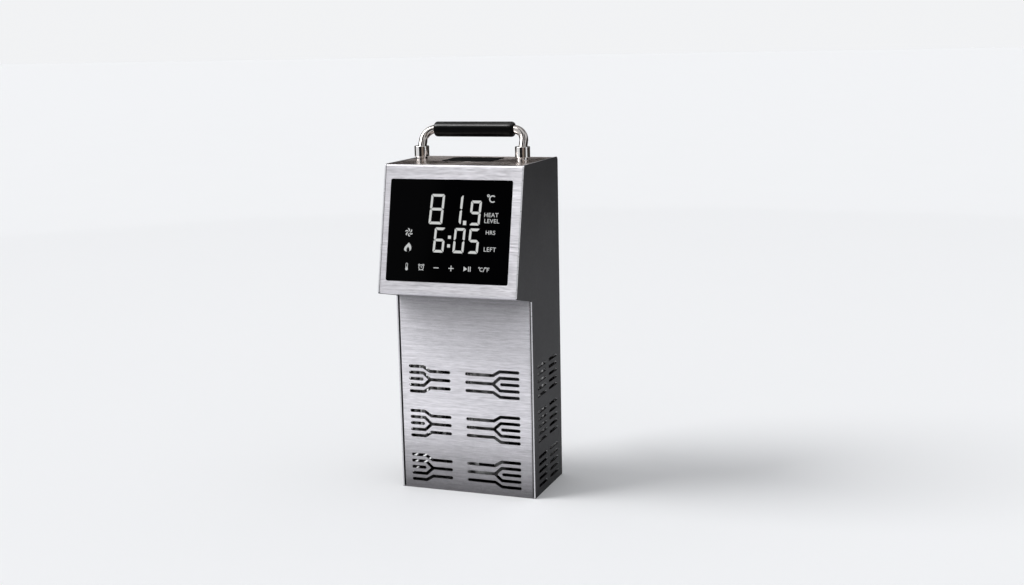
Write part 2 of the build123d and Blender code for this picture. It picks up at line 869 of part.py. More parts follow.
with BuildPart() as impeller_nut:
    with BuildSketch(Plane.XY.offset(impeller_z - blade_height)):
        RegularPolygon(nut_flats / 2, 6, major_radius=False)
    extrude(amount=-nut_height)
    with BuildSketch(Plane.XY.offset(impeller_z - blade_height)):
        Circle(shaft_radius + press_gap)
    extrude(amount=shaft_foot - (impeller_z - blade_height), mode=Mode.SUBTRACT)
save(impeller_nut.part, "impeller_nut")


# Heating elements: each one tube bent up and down twice, through the bulkhead at both ends
def heating_element(name, side):
    top = bulkhead_top + element_stub
    first, second, third, last = element_rows
    with BuildPart() as element:
        with BuildLine(Plane.YZ.offset(side * element_x)) as element_path:
            FilletPolyline(
                (first, top),
                (first, element_foot),
                (second, element_foot),
                (second, element_top),
                (third, element_top),
                (third, element_foot),
                (last, element_foot),
                (last, top),
                radius=element_bend,
            )
        with BuildSketch(Plane.XY.offset(top)):
            with Locations((side * element_x, first)):
                Circle(element_radius)
        sweep(path=element_path.wires()[0])
    save(element.part, name)


heating_element("heating_element_left", -1)
heating_element("heating_element_right", 1)

with BuildPart() as element_nuts:
    with BuildSketch(Plane.XY.offset(bulkhead_top)):
        with Locations(*element_spots):
            RegularPolygon(element_nut_flats / 2, 6, major_radius=False)
            Circle(element_radius + press_gap, mode=Mode.SUBTRACT)
    extrude(amount=element_nut_height)
save(element_nuts.part, "element_nuts")

# Temperature probe and level probes
with BuildPart() as temperature_probe:
    with BuildSketch(Plane.XY.offset(bulkhead_height - probe_length)):
        with Locations((0, probe_y)):
            Circle(probe_radius)
    extrude(amount=probe_length + sheet + probe_stub)
    fillet(temperature_probe.edges().group_by(Axis.Z)[0], probe_tip_round)
save(temperature_probe.part, "temperature_probe")

with BuildPart() as level_probes:
    for level_spot, level_length in zip(level_spots, (level_length_long, level_length_short)):
        with BuildSketch(Plane.XY.offset(bulkhead_height - level_length)):
            with Locations(level_spot):
                Circle(level_radius)
        extrude(amount=level_length + sheet + probe_stub)
save(level_probes.part, "level_probes")

with BuildPart() as probe_nuts:
    with BuildSketch(Plane.XY.offset(bulkhead_top)):
        with Locations((0, probe_y), *level_spots):
            RegularPolygon(probe_nut_flats / 2, 6, major_radius=False)
        with Locations((0, probe_y)):
            Circle(probe_radius + press_gap, mode=Mode.SUBTRACT)
        with Locations(*level_spots):
            Circle(level_radius + press_gap, mode=Mode.SUBTRACT)
    extrude(amount=probe_nut_height)
save(probe_nuts.part, "probe_nuts")

# Electronics: power board on the left plate, heat sink and power module on the right
board_x = spacer_length - inner_half
board_face_x = board_x + board_thickness
board_edge_low = power_board_z - power_board_height / 2
board_edge_high = power_board_z + power_board_height / 2
board_edge_front = power_board_y - power_board_width / 2
spacer_grid = (power_board_width - 2 * spacer_inset, power_board_height - 2 * spacer_inset)
with BuildPart() as power_board:
    with BuildSketch(Plane.YZ.offset(board_x)):
        with Locations((power_board_y, power_board_z)):
            Rectangle(power_board_width, power_board_height)
    extrude(amount=board_thickness)
save(power_board.part, "power_board")

with BuildPart() as board_spacers:
    with BuildSketch(Plane.YZ.offset(-inner_half)):
        with Locations((power_board_y, power_board_z)):
            with GridLocations(*spacer_grid, 2, 2):
                RegularPolygon(spacer_radius, 6)
    extrude(amount=spacer_length)
save(board_spacers.part, "board_spacers")

transformer_y = board_edge_front + part_margin + transformer_width / 2
transformer_z = board_edge_low + part_margin + transformer_height / 2
with BuildPart() as transformer:
    with BuildSketch(Plane.YZ.offset(board_face_x)):
        with Locations((transformer_y, transformer_z)):
            Rectangle(transformer_width, transformer_height)
    extrude(amount=transformer_depth)
    chamfer(transformer.edges().filter_by(Axis.X), transformer_chamfer)
save(transformer.part, "transformer")

terminal_z = board_edge_high - part_margin - terminal_height / 2
with BuildPart() as terminal_block:
    with BuildSketch(Plane.YZ.offset(board_face_x)):
        with Locations((power_board_y, terminal_z)):
            Rectangle(terminal_width, terminal_height)
    extrude(amount=terminal_depth)
    with BuildSketch(Plane.YZ.offset(board_face_x + terminal_depth)):
        with Locations((power_board_y, terminal_z)):
            with GridLocations(terminal_width / terminal_ways, 0, terminal_ways, 1):
                Rectangle(terminal_width / terminal_ways / 2, terminal_height / 2)
    extrude(amount=-terminal_depth / 2, mode=Mode.SUBTRACT)
save(terminal_block.part, "terminal_block")

transformer_top = transformer_z + transformer_height / 2
capacitor_z = (transformer_top + terminal_z - terminal_height / 2) / 2
with BuildPart() as capacitor:
    with BuildSketch(Plane.YZ.offset(board_face_x)):
        with Locations((power_board_y, capacitor_z)):
            Circle(capacitor_radius)
    extrude(amount=capacitor_length)
    fillet(capacitor.edges().group_by(Axis.X)[-1], capacitor_round)
save(capacitor.part, "capacitor")

sink_x = inner_half - sink_base
sink_low = sink_z - sink_height / 2
fin_z = sink_z + sink_height / 2 - sink_fin_height / 2
fin_pitch = (sink_width - sink_fin_thickness) / (sink_fins - 1)
with BuildPart() as heat_sink:
    with BuildSketch(Plane.YZ.offset(sink_x)):
        with Locations((0, sink_z)):
            Rectangle(sink_width, sink_height)
    extrude(amount=sink_base)
    with BuildSketch(Plane.YZ.offset(sink_x)):
        with Locations((0, fin_z)):
            with GridLocations(fin_pitch, 0, sink_fins, 1):
                Rectangle(sink_fin_thickness, sink_fin_height)
    extrude(amount=-sink_fin_reach)
save(heat_sink.part, "heat_sink")

with BuildPart() as power_module:
    with BuildSketch(Plane.YZ.offset(sink_x)):
        with Locations((0, sink_low + module_height / 2)):
            Rectangle(module_width, module_height)
    extrude(amount=-module_depth)
    chamfer(power_module.edges().group_by(Axis.X)[0], module_chamfer)
save(power_module.part, "power_module")

# Cooling fan behind the rear grille
fan_spot = (0, fan_z)
with BuildPart() as fan_frame:
    with BuildSketch(facing_front(cover_inner_y)):
        with Locations(fan_spot):
            RectangleRounded(fan_size, fan_size, fan_corner)
            Circle(fan_bore, mode=Mode.SUBTRACT)
            with GridLocations(fan_holes, fan_holes, 2, 2):
                Circle(fan_screw_radius + press_gap, mode=Mode.SUBTRACT)
    extrude(amount=fan_depth)
    with BuildSketch(facing_front(cover_inner_y)):
        with Locations(fan_spot):
            Circle(fan_boss_radius)
            Rectangle(2 * fan_bore, fan_strut)
            Rectangle(fan_strut, 2 * fan_bore)
            Circle(fan_axle_radius + turn_gap, mode=Mode.SUBTRACT)
    extrude(amount=fan_boss_height)
save(fan_frame.part, "fan_frame")

rotor_y = cover_inner_y - fan_boss_height - fan_hub_gap
blade_root = fan_hub_radius - fan_blade_root
blade_tip = fan_bore - fan_tip_gap
blade_middle_y = rotor_y - fan_hub_height / 2
blade_chord = fan_hub_height - fan_blade_thickness
with BuildPart() as fan_rotor:
    for turn in range(fan_blades):
        angle = 360 / fan_blades * turn
        outward = Vector(cos(radians(angle)), 0, sin(radians(angle)))
        hub_centre = Vector(0, blade_middle_y, fan_z)
        for reach, lean in ((blade_root, fan_pitch_root), (blade_tip, fan_pitch_tip)):
            with BuildSketch(Plane(hub_centre + outward * reach, x_dir=(0, 1, 0), z_dir=outward)):
                Rectangle(blade_chord, fan_blade_thickness, rotation=lean)
        loft()
    with BuildSketch(facing_front(rotor_y)):
        with Locations(fan_spot):
            Circle(fan_hub_radius)
    extrude(amount=fan_hub_height)
    with BuildSketch(facing_front(rotor_y)):
        with Locations(fan_spot):
            Circle(fan_axle_radius)
    extrude(amount=-fan_hub_gap - fan_boss_height)
save(fan_rotor.part, "fan_rotor")

pan_screws(
    "fan_screws",
    fan_screw_spots,
    cover_y,
    fan_screw_radius,
    sheet + fan_depth + fan_screw_spare,
    screw_head_radius * fan_screw_radius / screw_radius,
    screw_head_height,
)

# Cord gland and its lock nut
gland_spot = (gland_x, gland_z)
with BuildPart() as cord_gland:
    with BuildSketch(facing_front(cover_y)):
        with Locations(gland_spot):
            RegularPolygon(gland_flats / 2, 6, major_radius=False)
    extrude(amount=-gland_hex_height)
    with BuildSketch(facing_front(cover_y + gland_hex_height)):
        with Locations(gland_spot):
            Circle(gland_dome_radius)
    extrude(amount=-gland_dome_height)
    fillet(cord_gland.edges().group_by(Axis.Y)[-1], gland_dome_round)
    with BuildSketch(facing_front(cover_y)):
        with Locations(gland_spot):
            Circle(gland_thread_radius)
    extrude(amount=gland_thread_length)
    with BuildSketch(facing_front(cover_y - gland_thread_length)):
        with Locations(gland_spot):
            Circle(gland_bore)
    extrude(amount=-gland_thread_length - gland_hex_height - gland_dome_height, mode=Mode.SUBTRACT)
save(cord_gland.part, "cord_gland")

with BuildPart() as gland_lock_nut:
    with BuildSketch(facing_front(cover_inner_y)):
        with Locations(gland_spot):
            RegularPolygon(gland_flats / 2, 6, major_radius=False)
            Circle(gland_thread_radius + press_gap, mode=Mode.SUBTRACT)
    extrude(amount=gland_lock_height)
save(gland_lock_nut.part, "gland_lock_nut")

# Mains switch: body with a well, rocker on two short pins
switch_spot = (switch_x, switch_z)
well_width = switch_width - 2 * switch_wall
well_height = switch_height - 2 * switch_wall
rocker_width = well_width - 2 * rocker_gap
rocker_pin_plane = Plane.YZ.offset(switch_x - rocker_width / 2 - rocker_pin_length)
rocker_pin_span = rocker_width + 2 * rocker_pin_length
well_depth = rocker_pivot_depth + rocker_belly + rocker_gap
with BuildPart() as switch_body:
    with BuildSketch(facing_front(cover_y)):
        with Locations(switch_spot):
            Rectangle(switch_width + 2 * switch_flange_rim, switch_height + 2 * switch_flange_rim)
    extrude(amount=-switch_flange)
    chamfer(switch_body.edges().group_by(Axis.Y)[-1], switch_flange_chamfer)
    with BuildSketch(facing_front(cover_y)):
        with Locations(switch_spot):
            Rectangle(switch_width, switch_height)
    extrude(amount=switch_depth)
    with BuildSketch(facing_front(cover_y - well_depth)):
        with Locations(switch_spot):
            Rectangle(well_width, well_height)
    extrude(amount=-well_depth - switch_flange, mode=Mode.SUBTRACT)
    with BuildSketch(Plane.YZ.offset(switch_x - rocker_pin_span / 2 - fit_gap)):
        with Locations((rocker_y, switch_z)):
            Circle(rocker_pin_radius + turn_gap)
    extrude(amount=rocker_pin_span + 2 * fit_gap, mode=Mode.SUBTRACT)
save(switch_body.part, "switch_body")

rocker_frame = Plane(
    (switch_x - rocker_width / 2, rocker_y, switch_z),
    x_dir=(0, cos(radians(rocker_angle)), sin(radians(rocker_angle))),
    z_dir=(1, 0, 0),
)
with BuildPart() as switch_rocker:
    with BuildSketch(rocker_frame):
        with BuildLine():
            Polyline(
                (0, -rocker_half_length),
                (rocker_edge_rise, -rocker_half_length),
                (rocker_edge_rise - rocker_dip, 0),
                (rocker_edge_rise, rocker_half_length),
                (0, rocker_half_length),
            )
            ThreePointArc((0, rocker_half_length), (-rocker_belly, 0), (0, -rocker_half_length))
        make_face()
    extrude(amount=rocker_width)
    with BuildSketch(rocker_pin_plane):
        with Locations((rocker_y, switch_z)):
            Circle(rocker_pin_radius)
    extrude(amount=rocker_pin_span)
save(switch_rocker.part, "switch_rocker")

# Wall clamp: strap bent over the wall, pad on the end of a hand screw
clamp_fix_sink = clamp_fix_head - clamp_fix_radius
with BuildPart() as clamp_bracket:
    with BuildSketch(Plane.YZ.offset(-strap_width / 2)):
        with BuildLine():
            FilletPolyline(
                (cover_y, clamp_inner_foot),
                (cover_y, clamp_arm_height),
                (clamp_outer_y, clamp_arm_height),
                (clamp_outer_y, clamp_outer_foot),
                radius=strap_bend,
            )
            offset(amount=strap, side=Side.RIGHT)
        make_face()
    extrude(amount=strap_width)
    strap_feet = clamp_bracket.edges().filter_by(Axis.Y).group_by(Axis.Z)
    fillet(strap_feet[0] + strap_feet[1], strap_corner)
    with BuildSketch(facing_front(clamp_outer_y)):
        with Locations((0, clamp_axis)):
            Circle(boss_radius)
    extrude(amount=-boss_height)
    with BuildSketch(facing_front(clamp_outer_y - strap)):
        with Locations((0, clamp_axis)):
            Circle(clamp_screw_radius + turn_gap)
    extrude(amount=-strap - boss_height, mode=Mode.SUBTRACT)
    with BuildSketch(facing_front(jaw_y)):
        with Locations(*clamp_fix_spots):
            Circle(clamp_fix_head)
    extrude(amount=clamp_fix_sink, taper=countersink_angle, mode=Mode.SUBTRACT)
    with BuildSketch(facing_front(jaw_y)):
        with Locations(*clamp_fix_spots):
            Circle(clamp_fix_radius + fit_gap)
    extrude(amount=strap, mode=Mode.SUBTRACT)
save(clamp_bracket.part, "clamp_bracket")

with BuildPart() as clamp_bracket_screws:
    with BuildSketch(facing_front(jaw_y)):
        with Locations(*clamp_fix_spots):
            Circle(clamp_fix_radius)
    extrude(amount=strap + sheet + clamp_nut_height)
    with BuildSketch(facing_front(jaw_y)):
        with Locations(*clamp_fix_spots):
            Circle(clamp_fix_head - press_gap)
    extrude(amount=clamp_fix_sink - press_gap, taper=countersink_angle)
save(clamp_bracket_screws.part, "clamp_bracket_screws")

with BuildPart() as clamp_bracket_nuts:
    with BuildSketch(facing_front(cover_inner_y)):
        with Locations(*clamp_fix_spots):
            RegularPolygon(clamp_nut_flats / 2, 6, major_radius=False)
            Circle(clamp_fix_radius + press_gap, mode=Mode.SUBTRACT)
    extrude(amount=clamp_nut_height)
save(clamp_bracket_nuts.part, "clamp_bracket_nuts")

with BuildPart() as clamp_pad:
    with BuildSketch(facing_front(pad_y)):
        with Locations((0, clamp_axis)):
            Circle(pad_radius)
    extrude(amount=-pad_thickness)
    fillet(clamp_pad.edges().group_by(Axis.Y)[0], pad_round)
    with BuildSketch(facing_front(pad_y + pad_thickness)):
        with Locations((0, clamp_axis)):
            Circle(clamp_screw_radius + turn_gap)
    extrude(amount=pad_socket, mode=Mode.SUBTRACT)
save(clamp_pad.part, "clamp_pad")

with BuildPart() as clamp_screw:
    with BuildSketch(facing_front(screw_tip_y)):
        with Locations((0, clamp_axis)):
            Circle(clamp_screw_radius)
    extrude(amount=screw_tip_y - knob_y - knob_bore_depth + fit_gap)
    chamfer(clamp_screw.edges().filter_by(GeomType.CIRCLE), clamp_screw_chamfer)
save(clamp_screw.part, "clamp_screw")

with BuildPart() as clamp_knob:
    with BuildSketch(facing_front(knob_y)) as knob_outline:
        with Locations((0, clamp_axis)):
            Circle(knob_radius)
            with PolarLocations(knob_scallop_reach, knob_lobes):
                Circle(knob_scallop, mode=Mode.SUBTRACT)
        fillet(knob_outline.vertices(), knob_round)
    extrude(amount=-knob_length)
    fillet(clamp_knob.edges().group_by(Axis.Y)[-1], knob_round)
    with BuildSketch(facing_front(knob_y)):
        with Locations((0, clamp_axis)):
            Circle(clamp_screw_radius + press_gap)
    extrude(amount=-knob_bore_depth, mode=Mode.SUBTRACT)
save(clamp_knob.part, "clamp_knob")
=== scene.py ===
import json
from math import cos, pi, radians, sin, tan

import bmesh
import bpy
from mathutils import Matrix, Vector, noise


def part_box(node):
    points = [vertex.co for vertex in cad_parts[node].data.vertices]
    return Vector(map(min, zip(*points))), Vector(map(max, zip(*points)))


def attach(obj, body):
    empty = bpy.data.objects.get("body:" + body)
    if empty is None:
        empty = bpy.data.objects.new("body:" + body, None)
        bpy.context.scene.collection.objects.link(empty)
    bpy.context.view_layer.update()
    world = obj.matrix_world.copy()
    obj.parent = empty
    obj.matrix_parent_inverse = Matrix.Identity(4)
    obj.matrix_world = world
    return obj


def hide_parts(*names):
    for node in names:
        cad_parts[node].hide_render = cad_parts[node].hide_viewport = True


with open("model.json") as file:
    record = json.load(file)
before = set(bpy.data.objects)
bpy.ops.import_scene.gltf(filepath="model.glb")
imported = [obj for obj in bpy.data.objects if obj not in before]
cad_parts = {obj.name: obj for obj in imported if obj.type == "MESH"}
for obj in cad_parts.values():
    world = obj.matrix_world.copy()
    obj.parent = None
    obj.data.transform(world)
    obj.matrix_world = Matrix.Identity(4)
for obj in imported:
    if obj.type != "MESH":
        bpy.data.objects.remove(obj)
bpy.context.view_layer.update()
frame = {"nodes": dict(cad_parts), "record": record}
nodes = frame["nodes"]
millimetre = 0.001
print("frame loaded:", len(nodes), "nodes")


# A socket that takes part in Python sums
class Wire:
    def __init__(self, shader, socket):
        self.shader = shader
        self.socket = socket

    def maths(self, operation, first, second):
        return self.shader.node("Math", {"operation": operation}, {0: first, 1: second})

    def __add__(self, other):
        return self.maths("ADD", self, other)

    def __sub__(self, other):
        return self.maths("SUBTRACT", self, other)

    def __rsub__(self, other):
        return self.maths("SUBTRACT", other, self)

    def __mul__(self, other):
        return self.maths("MULTIPLY", self, other)

    def __gt__(self, other):
        return self.maths("GREATER_THAN", self, other)

    def __lt__(self, other):
        return self.maths("LESS_THAN", self, other)

    def __abs__(self):
        return self.maths("ABSOLUTE", self, 0)

    __radd__ = __add__
    __rmul__ = __mul__


# One node tree, of a material or of the world
class Shader:
    def __init__(self, holder):
        self.holder = holder
        holder.use_nodes = True
        self.tree = holder.node_tree
        self.tree.nodes.clear()

    def node(self, kind, settings=None, sockets=None, out=0):
        made = self.tree.nodes.new("ShaderNode" + kind)
        for name, value in (settings or {}).items():
            setattr(made, name, value)
        for name, value in (sockets or {}).items():
            if isinstance(value, Wire):
                self.tree.links.new(value.socket, made.inputs[name])
            else:
                made.inputs[name].default_value = value
        return Wire(self, made.outputs[out]) if made.outputs else None

    def spot(self, stretch=(1, 1, 1)):  # place on the part in metres, stretched along its axes
        place = self.node("TexCoord", out="Object")
        return self.node("VectorMath", {"operation": "MULTIPLY"}, {0: place, 1: stretch})

    def place(self, axis):  # x, y or z of the spot, in metres
        return self.node("SeparateXYZ", sockets={0: self.spot()}, out=axis)

    def facing(self, axis):  # how far the surface faces along x, y or z
        normal = self.node("TexCoord", out="Normal")
        return self.node("SeparateXYZ", sockets={0: normal}, out=axis)

    def cloud(self, stretch, detail=3, rough=0.55):  # noise about 0, from -0.5 to 0.5
        sockets = {"Vector": self.spot(stretch), "Scale": 1, "Detail": detail, "Roughness": rough}
        return self.node("TexNoise", sockets=sockets) - 0.5

    def tint(self, share, first, second):  # from the first colour to the second
        colours = {0: share, 6: first, 7: second}
        return self.node("Mix", {"data_type": "RGBA"}, colours, out=2)

    def shade(self, colour, level):  # a colour made lighter or darker
        start = colour if isinstance(colour, Wire) else colour[:3]
        return self.node("VectorMath", {"operation": "SCALE"}, {0: start, "Scale": level})

    def bump(self, height, depth):
        return self.node("Bump", sockets={"Height": height, "Strength": 1, "Distance": depth})

    def surface(self, **sockets):
        named = {name.replace("_", " "): value for name, value in sockets.items()}
        skin = self.node("BsdfPrincipled", sockets=named)
        self.node("OutputMaterial", sockets={0: skin})
        return self.holder


def newFinish(name):
    return Shader(bpy.data.materials.new(name))


def rgb(red, green, blue):
    return (red, green, blue, 1)


# Sheet metal brushed along the width of the case
brushed = {
    "colour": rgb(0.74, 0.725, 0.76),
    "fine": (90, 900, 900),  # waves per metre along x, y and z
    "fineShare": 0.8,
    "coarse": (12, 420, 420),
    "coarseShare": 0.7,
    "streaks": 0.75,
    "patches": (7, 11, 11),
    "patchTone": 0.22,
    "roughness": 0.38,
    "roughStreaks": 0.25,
    "stretch": 0.7,
    "stretchTurn": 0.25,
    "scratchDepth": 0.00002,
    # painted shade: how far the ambient occlusion looks, and how strongly it darkens the steel's colour
    "paintedShadeReach": 0.085,
    "paintedShadeLevel": 0.55,
}


def steelGrain(shader):
    fine = brushed["fineShare"] * shader.cloud(brushed["fine"], 2)
    return fine + brushed["coarseShare"] * shader.cloud(brushed["coarse"], 4)


def steelTone(shader, grain):  # streaks, and soft patches left by the brush
    patches = brushed["patchTone"] * shader.cloud(brushed["patches"], 2)
    return 1 + brushed["streaks"] * grain + patches


def paintedShadeTone(shader):  # painted shade: the steel's base colour is darkened in corners and under the overhang, by ambient occlusion
    reach = {"Distance": brushed["paintedShadeReach"]}
    openness = shader.node("AmbientOcclusion", {"samples": 8}, reach, out="AO")
    return brushed["paintedShadeLevel"] * openness * openness * (1 + openness)


def brushedSteel(name, colour):
    shader = newFinish(name)
    grain = steelGrain(shader)
    return shader.surface(
        # the base colour is darkened with painted shade in corners and under the overhang
        Base_Color=shader.shade(colour, steelTone(shader, grain) * paintedShadeTone(shader)),
        Metallic=1,
        Roughness=brushed["roughness"] + brushed["roughStreaks"] * grain,
        Anisotropic=brushed["stretch"],
        Anisotropic_Rotation=brushed["stretchTurn"],
        Normal=shader.bump(grain, brushed["scratchDepth"]),
    )


# The head: brushed display face with painted shade to the left, smoother top with a brown tint of
# painted reflection
head = {
    "faceLevel": 0.95,
    "paintedShadeRamp": 0.9,  # per metre, painted shade: darker to the left
    # the top's steel colour; its brown tint is painted reflection of brown surroundings
    "topColourReflectionTint": rgb(0.88, 0.79, 0.75),
    "topFacing": 0.985,  # what counts as the top
    "smears": (26, 40, 40),
    "smearTone": 0.3,
    "topRoughness": 0.27,
    "roughSmears": 0.08,
    "roughGrain": 0.1,
}


def headSteel():
    shader = newFinish("headSteel")
    grain = steelGrain(shader)
    top = shader.facing("Z") > head["topFacing"]
    smear = shader.cloud(head["smears"], 5)
    # painted shade: the display face is darkened towards the left
    paintedShadeRamp = head["faceLevel"] + head["paintedShadeRamp"] * shader.place("X")
    face = shader.shade(brushed["colour"], steelTone(shader, grain) * paintedShadeRamp)
    # the top's colour carries a brown tint that is painted reflection
    smooth = shader.shade(head["topColourReflectionTint"], steelTone(shader, grain) + head["smearTone"] * smear)
    satin = brushed["roughness"] + brushed["roughStreaks"] * grain
    polished = head["topRoughness"] + head["roughSmears"] * smear + head["roughGrain"] * grain
    return shader.surface(
        Base_Color=shader.tint(top, face, smooth),
        Metallic=1,
        Roughness=satin + top * (polished - satin),
        Anisotropic=brushed["stretch"],
        Anisotropic_Rotation=brushed["stretchTurn"],
        Normal=shader.bump(grain * (1 - top), brushed["scratchDepth"]),
    )


# Side plates: outside darkened with painted shade for steel that lies in shade, plain inside, bright
# outer edges, slot walls darkened with painted shade
plate = {
    # painted shade: the outside of the plates is coloured dark, as steel lying in shade
    "face": rgb(0.090, 0.090, 0.093),
    "inside": rgb(0.30, 0.30, 0.31),
    "edge": rgb(0.62, 0.62, 0.64),
    # painted shade: slot walls coloured dark, as shade inside the slots
    "paintedShadeSlotWall": rgb(0.085, 0.085, 0.088),
    "glance": rgb(0.55, 0.55, 0.55),  # reflection at a slant
    "edgeFacing": 0.93,  # what counts as an edge
    "slotTop": 0.24,  # metres up: no slots above this
    "edgeMatt": 0.6,
    "edgeTone": 0.3,
    "edgePolish": 0.18,
    "grain": (420, 380, 420),
    "grainTone": 1.1,
    "grainDepth": 0.00003,
    "patches": (14, 14, 9),
    "patchTone": 0.35,
    "roughness": 0.48,
    "roughGrain": 0.2,
}


def paintedShadePlateSteel():
    shader = newFinish("paintedShadePlateSteel")
    edge = abs(shader.facing("X")) < plate["edgeFacing"]
    above = shader.place("Z") > plate["slotTop"]
    upright = abs(shader.facing("Y")) > plate["edgeFacing"]
    outer = above + upright > 0.5  # either of them
    inside = shader.facing("X") * shader.place("X") < 0
    grain = shader.cloud(plate["grain"], 3)
    patches = shader.cloud(plate["patches"], 4)
    # the outside colour is painted shade
    skin = shader.tint(inside, plate["face"], plate["inside"])
    face = shader.shade(skin, 1 + plate["grainTone"] * grain + plate["patchTone"] * patches)
    # slot walls take painted shade, outer edges stay bright steel
    wall = shader.tint(outer, plate["paintedShadeSlotWall"], plate["edge"])
    cut = shader.shade(wall, 1 + plate["edgeTone"] * grain)
    rough = plate["roughness"] + plate["roughGrain"] * grain
    return shader.surface(
        Base_Color=shader.tint(edge, face, cut),
        Metallic=1 - plate["edgeMatt"] * edge * outer,
        Specular_Tint=plate["glance"],
        Roughness=rough - plate["edgePolish"] * edge,
        Normal=shader.bump(grain, plate["grainDepth"]),
    )


# Pressed and turned steel pieces
plain = {
    "colour": rgb(0.52, 0.52, 0.515),
    "grain": (700, 700, 500),
    "grainDepth": 0.00002,
    "patches": (30, 30, 30),
    "tone": 0.2,
    "roughness": 0.33,
    "roughGrain": 0.2,
}


def plainSteel():
    shader = newFinish("plainSteel")
    grain = shader.cloud(plain["grain"], 4)
    patches = shader.cloud(plain["patches"], 3)
    return shader.surface(
        Base_Color=shader.shade(plain["colour"], 1 + plain["tone"] * grain + plain["tone"] * patches),
        Metallic=1,
        Roughness=plain["roughness"] + plain["roughGrain"] * grain,
        Normal=shader.bump(grain, plain["grainDepth"]),
    )


# Handle rod and ferrules
chrome = {"haze": (45, 45, 45), "hazeTone": 0.08, "roughHaze": 0.05}


def polishedChrome(name, colour, roughness):
    shader = newFinish(name)
    haze = shader.cloud(chrome["haze"], 5)
    return shader.surface(
        Base_Color=shader.shade(colour, 1 + chrome["hazeTone"] * haze),
        Metallic=1,
        Roughness=roughness + chrome["roughHaze"] * haze,
    )


# Black sleeve of the handle: fine pebbled grain, upper side polished by hands
leather = {
    "colour": rgb(0.0022, 0.0022, 0.0024),
    "pebble": 900,
    "scatter": 0.9,
    "pebbleTone": (1.25, 0.5),  # between pebbles, and how much darker on them
    "pebbleDepth": 0.00005,
    "wear": (60, 60, 60),
    "wearTone": 0.6,
    "roughness": 0.25,
    "roughWear": 0.15,
    "roughPebble": 0.1,
    "shine": 0.04,
    "polish": (0.34, 0.6, 1.0),  # where it starts and is full, going up, and its weight
    "polishRoughness": 0.26,
}


def gripLeather():
    shader = newFinish("gripLeather")
    sockets = {"Vector": shader.spot(), "Scale": leather["pebble"], "Randomness": leather["scatter"]}
    pebble = shader.node("TexVoronoi", {"feature": "SMOOTH_F1"}, sockets)
    wear = shader.cloud(leather["wear"], 4)
    between, darker = leather["pebbleTone"]
    start, full, weight = leather["polish"]
    limits = {"Value": shader.facing("Z"), "From Min": start, "From Max": full, "To Max": weight}
    tone = between - darker * pebble + leather["wearTone"] * wear
    rough = leather["roughness"] + leather["roughWear"] * wear + leather["roughPebble"] * pebble
    return shader.surface(
        Base_Color=shader.shade(leather["colour"], tone),
        Roughness=rough,
        Specular_IOR_Level=leather["shine"],
        Coat_Weight=shader.node("MapRange", sockets=limits) * (1 + wear),
        Coat_Roughness=leather["polishRoughness"],
        Normal=shader.bump(1 - pebble, leather["pebbleDepth"]),
    )


# Display glass, with faint smears
glass = {
    "colour": rgb(0.0008, 0.0008, 0.001),
    "smears": (18, 18, 30),
    "smearTone": 0.4,
    "roughness": 0.07,
    "roughSmears": 0.05,
    "shine": 0.018,
}


def blackGlass():
    shader = newFinish("blackGlass")
    smear = shader.cloud(glass["smears"], 5)
    return shader.surface(
        Base_Color=shader.shade(glass["colour"], 1 + glass["smearTone"] * smear),
        Roughness=glass["roughness"] + glass["roughSmears"] * smear,
        Specular_IOR_Level=glass["shine"],
    )


# Lit figures and marks, a little uneven
lit = {
    "unlit": rgb(0.02, 0.02, 0.02),
    "cells": (260, 260, 260),
    "uneven": 0.18,
    "roughness": 0.5,
    "shine": 0.1,
}


def litMark(name, colour, strength):
    shader = newFinish(name)
    glow = shader.cloud(lit["cells"], 2)
    return shader.surface(
        Base_Color=lit["unlit"],
        Roughness=lit["roughness"],
        Specular_IOR_Level=lit["shine"],
        Emission_Color=shader.shade(colour, 1 + lit["uneven"] * glow),
        Emission_Strength=strength,
    )


# Plastic and rubber from a sparked mould
moulded = {
    "spark": (1600, 1600, 1600),
    "sparkTone": 0.25,
    "sparkDepth": 0.00006,
    "flow": (50, 50, 50),
    "flowTone": 0.2,
    "roughSpark": 0.2,
}


def mouldedPlastic(name, colour, roughness, shine=0.4):
    shader = newFinish(name)
    spark = shader.cloud(moulded["spark"], 3)
    flow = shader.cloud(moulded["flow"], 3)
    tone = 1 + moulded["sparkTone"] * spark + moulded["flowTone"] * flow
    return shader.surface(
        Base_Color=shader.shade(colour, tone),
        Roughness=roughness + moulded["roughSpark"] * spark,
        Specular_IOR_Level=shine,
        Normal=shader.bump(spark, moulded["sparkDepth"]),
    )


# Green lacquer over copper tracks
tracks = {
    "lacquer": rgb(0.012, 0.10, 0.035),
    "copper": rgb(0.05, 0.21, 0.075),
    "pitch": 160,
    "width": 0.09,
    "run": 0.8,
    "row": 0.4,
    "shift": 0.37,
    "roughness": (0.38, 0.08),  # of the lacquer, and how much smoother the tracks are
    "height": 0.00004,
}


def circuitBoard():
    shader = newFinish("circuitBoard")
    sockets = {
        "Vector": shader.spot((1, 0.3, 1)),
        "Scale": tracks["pitch"],
        "Mortar Size": tracks["width"],
        "Brick Width": tracks["run"],
        "Row Height": tracks["row"],
    }
    track = shader.node("TexBrick", {"offset": tracks["shift"]}, sockets, out="Fac")
    rough, smoother = tracks["roughness"]
    return shader.surface(
        Base_Color=shader.tint(track, tracks["lacquer"], tracks["copper"]),
        Roughness=rough - smoother * track,
        Normal=shader.bump(track, tracks["height"]),
    )


# Turned or drawn stock
stock = {"lineTone": 0.25, "roughLines": 0.2, "lineDepth": 0.00002}


def metalStock(name, colour, roughness, stretch):
    shader = newFinish(name)
    lines = shader.cloud(stretch, 3)
    return shader.surface(
        Base_Color=shader.shade(colour, 1 + stock["lineTone"] * lines),
        Metallic=1,
        Roughness=roughness + stock["roughLines"] * lines,
        Normal=shader.bump(lines, stock["lineDepth"]),
    )


